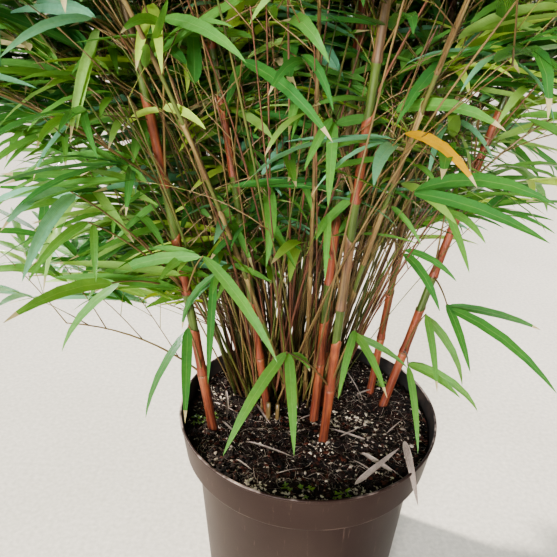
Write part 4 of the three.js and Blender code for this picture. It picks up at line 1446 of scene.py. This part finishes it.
# Where the clump is open, in front of its canes and below its crown, at its middle and at its sides, and
# the share of sprays that it lacks there
OPEN_FRONT = dict(top=648, fade=45, x=10, half=170, half_more=90, middle=(70, 190), sides=(-50, 100),
                  share=0.78)
# The crown's hem, which no leaf hangs below: its height across X, and how much higher or lower it lies
# from the front to the back
HEM = dict(x=(-240, -60, 110, 260), z=(372, 382, 465, 440), y=(-300, -80, 100), rise=(140, 0, -80))
# Canes that show through the leaves before them: the share of such leaves that is left out for each, how
# close beside a cane a leaf counts, and from which height
SHOWN_CANES = dict(left=0.9, mid_left=0.7, front=0.6, rear_right=0.6, centre=0.3)
SHOWN_MARGIN = 7.0
SHOWN_FROM = 420


def tip_stems(canes):
    """The stems that carry the canes' tips on."""
    def each(key):
        return np.array([cane[key] for cane in canes], float)
    bent, count = each("arch") * BARE_SHARE**CANE_POWER, len(canes)
    return dict(lines=each("stem"), toward=each("toward"), lean=each("lean") + bent,
                arch=each("arch") - bent + TIP_DROOP, length=each("length") * (1 - BARE_SHARE),
                radius=np.ones(count), parent=np.arange(count), round=np.ones(count, bool))


def side_branches(sides):
    """Where side branches start on the canes' lines, the way each goes and its joint's number. sides gives
    the joints and ways of a cane's branches."""
    spots = [(cane_at(cane, joint_place(cane["span"], k))[0], toward, k)
             for cane in CANES for k, toward in sides(cane)]
    return (np.array(column, float) for column in zip(*spots))


def side_stems():
    """The source's side branches."""
    start, toward, joint = side_branches(lambda cane: cane["sides"])
    return limbs(start, toward, SIDE_LEAN - SIDE_STEEPER * joint, SIDE_ARCH,
                 SIDE_LENGTH + SIDE_LONGER * joint, SIDE_STEM_STEPS, STEM_POWER, SIDE_STEM_RADIUS,
                 np.arange(len(joint)))


def more_stems(seed):
    """The side branches that the source leaves out, by its rule."""
    start, toward, _ = side_branches(lambda cane: MORE_SIDES.get(cane["name"], []))
    i = np.arange(len(toward))
    return limbs(start, toward, MORE_LEAN + between(*MORE_LEAN_VARIES, i, 1, seed), MORE_ARCH,
                 between(*MORE_LENGTH, i, 2, seed), SIDE_STEM_STEPS, STEM_POWER, SIDE_STEM_RADIUS, i)


def joint_stems(canes, each, seed):
    """Branchlets that leave a cane at its joints, in two ranks by turns, each cluster spread in a fan."""
    rule, spots = JOINT_RULE, []
    for number, cane in enumerate(canes):
        joints = cane["joints"][rule["from_joint"]:]
        joints = joints[joints < BARE_SHARE * cane["length"] + rule["past"]]
        for k, point in enumerate(cane_at(cane, joints)[0]):
            for j in range(each):
                turn = 180 * (k % 2) + 90 * number + cane["toward"] + rule["spread"] * (j - (each - 1) / 2)
                size = 1.0 if cane["thick"] > THIN_THICK else THIN_SIZE
                spots.append((point, turn + rule["turned"] * chance(number, k, j, seed), size))
    start, toward, size = (np.array(column, float) for column in zip(*spots))
    i = np.arange(len(toward))
    return limbs(start, toward, varied(rule, "lean", i, 1, seed), varied(rule, "arch", i, 2, seed),
                 between(*rule["length"], i, 3, seed) * size, BRANCHLET_STEPS, STEM_POWER,
                 rule["radius"] * size, i)


def grow_twigs(stems, mass, seed):
    """The source's twigs on each stem: at even shares of it, round it by the golden angle or in two
    ranks, each varied by chance."""
    rule, each = TWIG_RULE, mass["twigs"]
    i, k = cells(len(stems["toward"]), each)
    share = rule["first"] + rule["spaced"] * (k + rule["shifted"] * chance(i, k, 1, seed)) / max(each - 1, 1)
    share = np.minimum(share, rule["last"])
    rank = np.where(k % 2, 1, -1) * varied(rule, "rank", i, k, 2, seed)
    toward = stems["toward"][i] + np.where(stems["round"][i], GOLDEN_ANGLE * k, rank)
    lean = mass["spread"] + rule["lean_more"] * chance(i, k, 3, seed)
    length = mass["reach"] * varied(rule, "size", i, k, 4, seed)
    twigs = limbs(along(stems["lines"], i, share), toward, lean, between(*rule["arch"], i, k, 5, seed),
                  length, TWIG_STEPS, TWIG_POWER, rule["radius"], i)
    return {**twigs, "share": share}


def grow_finer(twigs, each, seed):
    """Finer twigs in two ranks on the outer part of each twig. The last one carries the twig on."""
    rule, (i, k) = FINER_RULE, cells(len(twigs["toward"]), each)
    end = k == each - 1
    out = rule["first"] + rule["spaced"] * (k + rule["shifted"] * chance(i, k, 1, seed)) / each
    share = np.where(end, 1.0, out)
    rank = np.where((k + i) % 2, 1, -1) * between(*rule["rank"], i, k, 2, seed)
    toward = twigs["toward"][i] + np.where(end, rule["end_rank"], 1.0) * rank
    lean = twigs["lean"][i] + twigs["arch"][i] * share + between(*rule["lean"], i, k, 3, seed)
    length = between(*rule["length"], i, k, 4, seed) * np.where(end, rule["end_length"], 1.0)
    finer = limbs(along(twigs["lines"], i, share), toward, lean, between(*rule["arch"], i, k, 5, seed),
                  length, TWIG_STEPS, TWIG_POWER, rule["radius"], i)
    return {**finer, "share": share}


def grow_fans(twigs, blade, width, seed):
    """A fan of leaves at the end of each twig: in two ranks, the last one carrying the twig on, each sunk a
    little into it. Half of a leaf's lean is its twig's and half is level."""
    rule = LEAF_RULE
    number = rule["least"] + (chance(np.arange(len(twigs["toward"])), 9, seed) * rule["more"]).astype(int)
    i, j = cells(len(number), number.max())
    i, j = i[j < number[i]], j[j < number[i]]
    end = j == number[i] - 1
    share = np.where(end, 1.0, rule["first"] + rule["spaced"] * (j + 1) / number[i])
    rank = np.where(end, rule["end_splay"] * (chance(i, j, 6, seed) - 0.5), np.where(j % 2, 1, -1))
    toward = twigs["toward"][i] + rank * varied(rule, "splay", i, j, 2, seed)
    own = twigs["lean"][i] + twigs["arch"][i] * share
    lean = (own + rule["level"]) / 2 + rule["varied"] * (chance(i, j, 3, seed) - 0.5)
    length = blade * varied(rule, "size", i, j, 1, seed)
    return dict(
        root=along(twigs["lines"], i, share) - rule["sunk"] * heading(toward, lean), toward=toward,
        lean=lean, droop=rule["droop"] + rule["droop_more"] * chance(i, j, 4, seed) ** rule["droop_power"],
        length=length, width=length * width * between(*rule["width"], i, j, 7, seed),
        roll=rule["roll"] * (chance(i, j, 5, seed) - 0.5), twist=between(*rule["twist"], i, j, 8, seed),
        swing=between(*rule["swing"], i, j, 9, seed), fold=between(*rule["fold"], i, j, 10, seed),
        parent=i, share=share, spray=i + 1000.0 * seed)


def enough(carried, stems, least):
    """True for each stem that carries at least so many of these."""
    return np.bincount(carried["parent"], minlength=len(stems["toward"])) >= least


def cut_back(stems, stays, carried):
    """The stems that stay, each cut off at the last thing that it carries."""
    last = np.zeros(len(stays))
    np.maximum.at(last, carried["parent"], carried["share"])
    keep = np.flatnonzero(stays)
    steps = stems["lines"].shape[1]
    share = last[keep][:, None] * np.linspace(0, 1, steps)
    lines = along(stems["lines"], np.repeat(keep, steps), share.ravel()).reshape(len(keep), steps, 3)
    return {**chosen(stems, keep), "lines": lines}


def joined(parts):
    """Many sets of like arrays as one."""
    return {key: np.concatenate([part[key] for part in parts]) for key in parts[0]}


def seen_from_camera(points):
    """Where points lie across and up the camera's view, as slopes, and how far ahead of it."""
    across, upward, forward = camera_axes()
    off = points - CAMERA_PLACE
    ahead = off @ forward
    return (off @ across) / ahead, (off @ upward) / ahead, ahead


def hiding(lines):
    """The share of leaves that is left out at each line, which is that of the canes that it would hide: it
    lies before a cane, and crosses it or comes close beside it."""
    x, y, ahead = seen_from_camera(lines)
    share = np.zeros(len(lines))
    for cane in CANES:
        cane_x, cane_y, cane_ahead = seen_from_camera(cane["bare"])
        beside = (x - np.interp(y, cane_y, cane_x)) * ahead
        before = ahead < np.interp(y, cane_y, cane_ahead)
        close = (np.abs(beside) < SHOWN_MARGIN) & before
        crosses = (beside[:, 1:] * beside[:, :-1] < 0) & before[:, 1:]
        hides = (close.any(axis=1) | crosses.any(axis=1)) & (lines[:, 0, 2] > SHOWN_FROM)
        share = np.maximum(share, hides * SHOWN_CANES.get(cane["name"], 0))
    return share


def openness(points):
    """How open the clump is at each place, from 0 to 1."""
    rule = OPEN_FRONT
    x, y, z = np.moveaxis(points, -1, 0)
    aside = np.clip((np.abs(x - rule["x"]) - rule["half"]) / rule["half_more"], 0, 1)
    start, over = (rule["middle"][n] * (1 - aside) + rule["sides"][n] * aside for n in (0, 1))
    hem = np.interp(x, HEM["x"], HEM["z"]) + np.interp(y, HEM["y"], HEM["rise"])
    under = np.clip((rule["top"] - z) / rule["fade"], 0, 1)
    return np.maximum(rule["share"] * np.clip((start - y) / over, 0, 1) * under, z < hem)


def blades_that_fit(blades):
    """True for each leaf that stays off the pot, the compost and the canes and inside the model's box, and
    that isn't thinned out of the clump's open front or from before a shown cane."""
    line = blade_spine(blades, np.linspace(0, 1, 7))[0]
    points = line.reshape(-1, 3)
    out = np.hypot(points[:, 0], points[:, 1])
    over = points[:, 2] > POT_HIGH.z / MM + 3
    beside = (out > POT_HIGH.x / MM + 4) & (points[:, 2] > 6)
    within = (points[:, 2] > COMPOST_TOP + 2) & (out < inner_radius(COMPOST_TOP) - 2)
    low, high = (np.array(corner) / MM for corner in CAD_BOX)
    fits = (over | beside | within) & ((points > low + 2) & (points < high - 2)).all(axis=1)
    far = line[:, 1:].reshape(-1, 3)
    for cane in CANES + THIN_CANES:
        near = distance_to_line(far, cane["line"][::3]) < cane["thick"] / 2 + 1
        fits.reshape(line.shape[:2])[:, 1:] &= ~near.reshape(len(line), -1)
    fits = fits.reshape(line.shape[:2]).all(axis=1)
    fits &= chance(blades["spray"], 95) > openness(line).max(axis=1)
    return fits & (chance(blades["spray"], 98) > hiding(line))


# Fans of leaves that stand out in the photograph: the cane and joint that carry each, the pixel where
# its twig ends and how far that lies from the pot's middle in Y, the leaves' kind, and each leaf's tip
# pixel and length, with 1 for a leaf that points to this side of its root and 0 for one that points away
# A fan's kind paints its light: deep where it lies in shade, light and bright partly where sunlight falls on
# it, cool partly where it reflects the sky.
FANS_IN_VIEW = [
    ("left", 2, (203, 256), -85, "mid", [((277, 362), 118, 1), ((98, 290), 122, 0), ((146, 250), 62, 0)]),
    ("left", 2, (112, 283), -95, "mid", [((4, 323), 122, 1), ((40, 300), 90, 0), ((62, 352), 88, 0)]),
    ("mid_left", 2, (214, 275), -60, "deep", [((208, 383), 104, 1), ((182, 330), 80, 0)]),
    ("left", 1, (188, 327), -70, "deep", [((185, 422), 98, 1), ((146, 418), 100, 0)]),
    ("front", 1, (286, 352), -92, "mid", [((223, 456), 116, 1), ((294, 456), 104, 1), ((310, 372), 46, 0)]),
    ("front", 1, (355, 330), -76, "mid", [((338, 400), 80, 1), ((387, 398), 92, 1), ((407, 368), 78, 0)]),
    ("right", 1, (408, 366), -50, "mid", [((418, 454), 90, 1), ((460, 398), 72, 1), ((478, 412), 96, 0)]),
    ("right", 1, (426, 314), -20, "mid", [((437, 392), 92, 1), ((462, 386), 98, 0)]),
    ("right", 2, (448, 308), -30, "deep", [((557, 394), 136, 1), ((540, 330), 104, 0), ((470, 372), 84, 1)]),
    ("front", 2, (328, 213), -56, "mid", [((325, 280), 72, 1), ((316, 240), 40, 1)]),
    ("front", 3, (332, 118), -84, "mid", [((304, 171), 66, 1), ((328, 207), 88, 1), ((389, 123), 66, 0)]),
    ("front", 3, (396, 111), -60, "mid", [((507, 132), 112, 1), ((446, 70), 80, 0)]),
    ("front", 3, (405, 133), -105, "gold", [((478, 189), 92, 1)]),
    ("rear_right", 2, (414, 191), -90, "deep",
     [((557, 206), 140, 1), ((548, 243), 136, 1), ((500, 186), 92, 0)]),
    ("rear_right", 2, (391, 206), -16, "mid", [((421, 245), 56, 1)]),
    ("rear_right", 1, (405, 250), -6, "deep", [((457, 282), 68, 1), ((440, 312), 84, 1)]),
    ("right", 2, (446, 209), -14, "mid", [((469, 272), 80, 1), ((486, 244), 66, 1)]),
    ("right", 3, (488, 32), -20, "light", [((557, 43), 98, 1), ((548, 14), 90, 0)]),
    ("rear_right", 3, (451, 60), -10, "bright", [((486, 27), 56, 0), ((470, 96), 64, 1)]),
    ("front", 3, (302, 55), -84, "deep", [((334, 113), 78, 1), ((268, 96), 80, 1)]),
    ("left", 3, (163, 18), -90, "mid", [((246, 63), 98, 1), ((120, 34), 70, 1)]),
    ("mid_left", 3, (242, 60), -70, "deep", [((332, 142), 122, 1), ((226, 118), 84, 0)]),
    ("left", 4, (153, 3), -60, "bright", [((162, 74), 86, 1), ((136, 71), 76, 1)]),
    ("left", 4, (92, 18), -104, "cool", [((0, 58), 96, 1), ((8, 14), 88, 0), ((30, 4), 66, 0)]),
    ("left", 4, (97, 28), -40, "light", [((77, 130), 108, 1), ((70, 144), 118, 1)]),
    ("left", 2, (68, 190), -104, "cool", [((0, 232), 84, 1), ((22, 282), 108, 1), ((-16, 210), 104, 0)]),
    ("left", 2, (88, 222), -84, "mid", [((28, 282), 82, 1), ((96, 282), 70, 1)]),
    ("left", 3, (163, 107), -60, "bright", [((206, 130), 58, 1), ((122, 132), 62, 0)]),
]
# A fan's twig bows up by this share of its length, and its leaves start this share of it apart. The share
# of them with a dry tip, and how much of the way to face the view they are rolled.
FAN_TWIG_BOW = 0.14
FAN_ROOT_STEP = 0.05
DRY_IN_VIEW = 0.45
FACING_SHARE = 0.75
# Cut stubs: the pixel of the foot, the height and the radius, and how far each is sunk in
STUBS_IN_VIEW = [((268, 421), 22, 2.6), ((277, 421), 20, 2.2), ((262, 410), 14, 1.8), ((296, 404), 16, 2.0)]
STUB_SUNK = 3


def twig_between(start, end, points=9):
    """A twig that leaves a joint and bows up a little on its way to where its fan starts."""
    t = np.linspace(0, 1, points)[:, None]
    top = (start + end) / 2 + [0, 0, FAN_TWIG_BOW * np.linalg.norm(end - start)]
    return (1 - t) ** 2 * start + 2 * t * (1 - t) * top + t**2 * end


def leaf_to(root, tip, key):
    """The numbers of a leaf from its root to its tip: its lean is that of the straight line between them,
    less the share of its droop that a line with that bend has on the whole. It is rolled most of the way
    to where its face meets the view, which is where its level side has no part of the view's direction."""
    chord = tip - root
    length = np.linalg.norm(chord)
    droop, twist = between(16, 44, key, 1, 96), between(-30, 30, key, 3, 96)
    toward = math.degrees(math.atan2(chord[1], chord[0]))
    flat = level_side(toward)
    view = CAMERA_PLACE - root
    facing = math.degrees(math.atan(-(flat @ view) / (np.cross(chord / length, flat) @ view)))
    return dict(root=root, toward=toward,
                lean=math.degrees(math.acos(chord[2] / length)) - droop / (1 + BLADE_BEND),
                droop=droop, length=length * 1.02, roll=FACING_SHARE * facing - twist / 2, twist=twist,
                swing=0.0, fold=between(0.1, 0.35, key, 4, 96))


def fans_in_view(width):
    """The photograph's fans: their twigs' lines and their leaves by kind."""
    canes = {cane["name"]: cane for cane in CANES}
    lines, kinds = [], {}
    for number, (name, joint, end, depth, kind, leaves) in enumerate(FANS_IN_VIEW):
        start = cane_at(canes[name], np.array(canes[name]["joints"][joint - 1]))[0]
        line = twig_between(start, at_depth(end, depth))
        lines.append(line)
        for j, (tip, length, nearer) in enumerate(leaves):
            root = along(line[None], np.array([0]), np.array([1 - FAN_ROOT_STEP * j]))[0]
            leaf = leaf_to(root, at_reach(tip, root, length, nearer), 10 * number + j)
            leaf["width"] = (leaf["length"] * width + 12) / 2 * between(0.62, 0.95, number, j, 97)
            kinds.setdefault(kind, []).append(leaf)
    blades = {kind: {key: np.array([leaf[key] for leaf in leaves]) for key in leaves[0]}
              for kind, leaves in kinds.items()}
    return np.array(lines), blades


class BAMBOO_OT_foliage(Operator):
    """Grow the side branches, branchlets, twigs and leaves"""

    bl_idname = "bamboo.foliage"
    bl_label = "Foliage"

    def execute(self, context):
        look = context.scene.bamboo_leaves
        groups = [(tip_stems(CANES), TIP_MASS, False), (tip_stems(THIN_CANES), THIN_MASS, False),
                  (side_stems(), SIDE_MASS, True), (bundle_stems(), BUNDLE_MASS, False),
                  (joint_stems(CANES, JOINT_RULE["each"], 81), JOINT_MASS, True),
                  (joint_stems(THIN_CANES, JOINT_RULE["each_thin"], 82), JOINT_MASS, True),
                  (more_stems(83), MORE_MASS, True)]
        wood, fans = [[], [], []], []
        for seed, (stems, mass, shown) in enumerate(groups):
            twigs = grow_twigs(stems, mass, seed)
            finer = grow_finer(twigs, mass["finer"], seed)
            blades = grow_fans(finer, look.length / MM, look.width, seed)
            blades = chosen(blades, blades_that_fit(blades))
            finer_stays = enough(blades, finer, FEWEST_LEAVES)
            twig_stays = enough(chosen(finer, finer_stays), twigs, 1)
            stem_stays = enough(chosen(twigs, twig_stays), stems, FEWEST_TWIGS * mass["twigs"] * shown)
            twig_stays &= stem_stays[twigs["parent"]]
            finer_stays &= twig_stays[finer["parent"]]
            blades = chosen(blades, finer_stays[blades["parent"]])
            fans.append(blades)
            if shown:
                wood[0].append(cut_back(stems, stem_stays, chosen(twigs, twig_stays)))
            wood[1].append(cut_back(twigs, twig_stays, chosen(finer, finer_stays)))
            wood[2].append(cut_back(finer, finer_stays, blades))
        lines, shown_blades = fans_in_view(look.width)
        self.wood(context.scene.bamboo_canes, wood, lines)
        self.leaves(look, joined(fans), shown_blades)
        return {"FINISHED"}

    def wood(self, look, wood, lines):
        """Side branches, branchlets and twigs: brown where they are thick, green where they are fine."""
        tan = cane_material("branch_tan", look.tan, "80693E", "4E3822", 0.5)
        green = cane_material("twig_green", look.twig, "9A9450", "6E5A2C", 0.5)
        surface = Surface()
        for group in wood[0]:
            add_tubes(surface, group["lines"], stem_radii(group), group["toward"], 7, 0)
        radii = np.linspace(1.1, 0.6, lines.shape[1])[None].repeat(len(lines), axis=0)
        across = lines[:, -1] - lines[:, 0]
        add_tubes(surface, lines, radii, np.degrees(np.arctan2(across[:, 1], across[:, 0])), 7, 0)
        nodes = [name for name in frame["nodes"] if name.startswith("foliage_")]
        surface.piece("branches", [tan], "leaf", nodes)
        fine = Surface()
        for number, sides in ((1, 4), (2, 3)):
            for group in wood[number]:
                add_tubes(fine, group["lines"], stem_radii(group, 0.7), group["toward"], sides, number - 1)
        fine.piece("twigs", [tan, green], "leaf")

    def leaves(self, look, blades, shown_blades):
        """Leaves, dealt out by spray to plain colours. Some have a dry tip. A kind has the light through it,
        its share and its roughness."""
        # The kinds paint light and shade as colour: deep is painted shade, cool is partly painted reflection,
        # and light and bright are partly painted sunlight.
        kinds = dict(mid=("7EAA40", 0.36, 0.27), deep=("5C9638", 0.26, 0.26), cool=("86B878", 0.135, 0.22),
                     light=("A2CC48", 0.17, 0.28), bright=("C4E04C", 0.06, 0.32), gold=("E8B838", 0.0, 0.4),
                     straw=(look.straw, 0.015, 0.6))
        straw = leaf_material("blade_tip_straw", look.straw, look.straw, LEAF_RIB, 0.6)
        dealt, least = chance(blades["spray"], 91), 0.0
        for name, (through, share, rough) in kinds.items():
            mine = chosen(blades, (dealt >= least) & (dealt < least + share))
            least += share
            surface = Surface()
            for some, dry_share, columns in ((mine, look.dry, BLADE_COLUMNS),
                                             (shown_blades.get(name, {}), DRY_IN_VIEW, CLOSE_COLUMNS)):
                dry = chance(some.get("toward", np.empty(0)), 92) < dry_share
                for tips in (False, True):
                    if (dry == tips).any():
                        add_blades(surface, chosen(some, dry == tips), 0, int(tips), columns)
            looks = [leaf_material("leaf_" + name, getattr(look, name), through, LEAF_RIB, rough), straw]
            surface.piece("leaves_" + name, looks, "leaf")


# The stage


class StageLook(PropertyGroup):
    floor: colour_property("Floor", "The floor's colour", "C6BFB4")
    sky: colour_property("Sky", "Soft light from above", "EEF4FA")
    horizon: colour_property("Horizon", "Soft light from low down", "D2D0CC")
    sky_strength: FloatProperty(name="Sky strength", description="Strength of the light from all round",
                                default=0.8, min=0)
    sun_strength: FloatProperty(name="Sun strength", description="Strength of the main light",
                                default=9.0, min=0)
    sun_softness: FloatProperty(name="Sun softness", description="Width of the main light in degrees",
                                default=3.0, min=0)
    key_strength: FloatProperty(name="Front strength", description="Power of the front light in watts",
                                default=40, min=0)


# Soft lights: the place, the size, the spread in degrees, the share of the front strength and the colour
PANELS = [("front", (-1.5, -3.7, 1.9), 1.5, 36, 1.1, (0.97, 0.98, 1.0)),
          ("back", (-0.5, 2.9, 2.0), 2.6, 90, 0.7, (0.96, 0.98, 1.0)),
          ("side", (2.2, -0.6, 1.7), 1.8, 180, 0.2, (0.95, 0.97, 1.0))]
SUN_PLACE = (-1.7, 0.8, 1.7)
# How high over the pot's middle the panels and the sun are aimed
PANEL_AIM = 1.15
SUN_AIM = 0.5
FLOOR_HALF = 9.0


class BAMBOO_OT_stage(Operator):
    """Lay the floor, light it and place the camera"""

    bl_idname = "bamboo.stage"
    bl_label = "Stage"

    def execute(self, context):
        look = context.scene.bamboo_stage
        self.floor(look)
        self.lights(context.scene, look)
        self.camera(context.scene)
        return {"FINISHED"}

    def floor(self, look):
        mesh = bpy.data.meshes.new("floor")
        corners = [(x * FLOOR_HALF, y * FLOOR_HALF, 0) for x, y in ((-1, -1), (1, -1), (1, 1), (-1, 1))]
        mesh.from_pydata(corners, [], [(0, 1, 2, 3)])
        floor = bpy.data.objects.new("floor", mesh)
        bpy.context.scene.collection.objects.link(floor)
        material = plain_material("floor_pale", look.floor, "B4ADA2", 0.85, 3.0, 160.0, 0.1, 0.3)
        mesh.materials.append(material)

    def lights(self, scene, look):
        world = bpy.data.worlds.new("soft_sky")
        world.use_nodes = True
        tree = world.node_tree
        up = node(tree, "ShaderNodeSeparateXYZ", Vector=node(tree, "ShaderNodeTexCoord").outputs["Generated"])
        shade = mixed(tree, spread_of(tree, up.outputs[2], 0.0, 0.5), look.horizon, look.sky)
        background = tree.nodes["Background"]
        tree.links.new(shade, background.inputs["Color"])
        background.inputs["Strength"].default_value = look.sky_strength
        scene.world = world
        scene.view_settings.look = "AgX - Medium High Contrast"
        sun = bpy.data.lights.new("sun", "SUN")
        sun.energy, sun.color = look.sun_strength, (1.0, 0.95, 0.87)
        sun.angle = math.radians(look.sun_softness)
        self.lamp(scene, sun, SUN_PLACE, SUN_AIM)
        for name, where, size, spread, share, colour in PANELS:
            data = bpy.data.lights.new(name, "AREA")
            data.size, data.energy, data.color = size, look.key_strength * share, colour
            data.spread = math.radians(spread)
            self.lamp(scene, data, where, PANEL_AIM)

    def lamp(self, scene, data, where, aim):
        """A light at a place, turned to a height over the pot's middle."""
        light = bpy.data.objects.new(data.name, data)
        light.location = where
        light.rotation_mode = "QUATERNION"
        light.rotation_quaternion = (Vector((0.0, 0.0, aim)) - Vector(where)).to_track_quat("-Z", "Y")
        scene.collection.objects.link(light)

    def camera(self, scene):
        data = bpy.data.cameras.new("camera")
        data.sensor_width = SENSOR_WIDTH
        data.lens = FOCAL_PIXELS / IMAGE_SIZE * SENSOR_WIDTH
        data.clip_start, data.clip_end = 0.01, 60
        camera = bpy.data.objects.new("camera", data)
        scene.collection.objects.link(camera)
        across, upward, forward = (Vector(axis) for axis in camera_axes())
        turned = Matrix((across, upward, -forward)).transposed().to_4x4()
        camera.matrix_world = Matrix.Translation(Vector(CAMERA_PLACE) * MM) @ turned
        scene.camera = camera


class BAMBOO_PT_panel(Panel):
    """The pieces of the potted bamboo, with their sizes and colours"""

    bl_label = "Potted bamboo"
    bl_idname = "BAMBOO_PT_panel"
    bl_space_type = "VIEW_3D"
    bl_region_type = "UI"
    bl_category = "Bamboo"

    def draw(self, context):
        for operators, holder in PIECES:
            box = self.layout.box()
            for operator in operators:
                box.operator(operator.bl_idname)
            settings = getattr(context.scene, holder)
            for name in settings.bl_rna.properties.keys():
                if name not in ("rna_type", "name"):
                    box.prop(settings, name)


GROUPS = {"bamboo_pot": PotLook, "bamboo_compost": CompostLook, "bamboo_canes": CaneLook,
          "bamboo_leaves": LeafLook, "bamboo_stage": StageLook}
PIECES = [([BAMBOO_OT_pot], "bamboo_pot"), ([BAMBOO_OT_compost, BAMBOO_OT_litter], "bamboo_compost"),
          ([BAMBOO_OT_canes, BAMBOO_OT_sheaths, BAMBOO_OT_thin_canes], "bamboo_canes"),
          ([BAMBOO_OT_foliage], "bamboo_leaves"), ([BAMBOO_OT_stage], "bamboo_stage")]
OPERATORS = [operator for operators, _ in PIECES for operator in operators]


def register():
    for cls in [*GROUPS.values(), *OPERATORS, BAMBOO_PT_panel]:
        bpy.utils.register_class(cls)
    for name, group in GROUPS.items():
        setattr(Scene, name, PointerProperty(type=group))


def unregister():
    for name in GROUPS:
        delattr(Scene, name)
    for cls in reversed([*GROUPS.values(), *OPERATORS, BAMBOO_PT_panel]):
        bpy.utils.unregister_class(cls)


def main():
    register()
    for operator in OPERATORS:
        group, name = operator.bl_idname.split(".")
        getattr(getattr(bpy.ops, group), name)()


if __name__ == "__main__":
    main()
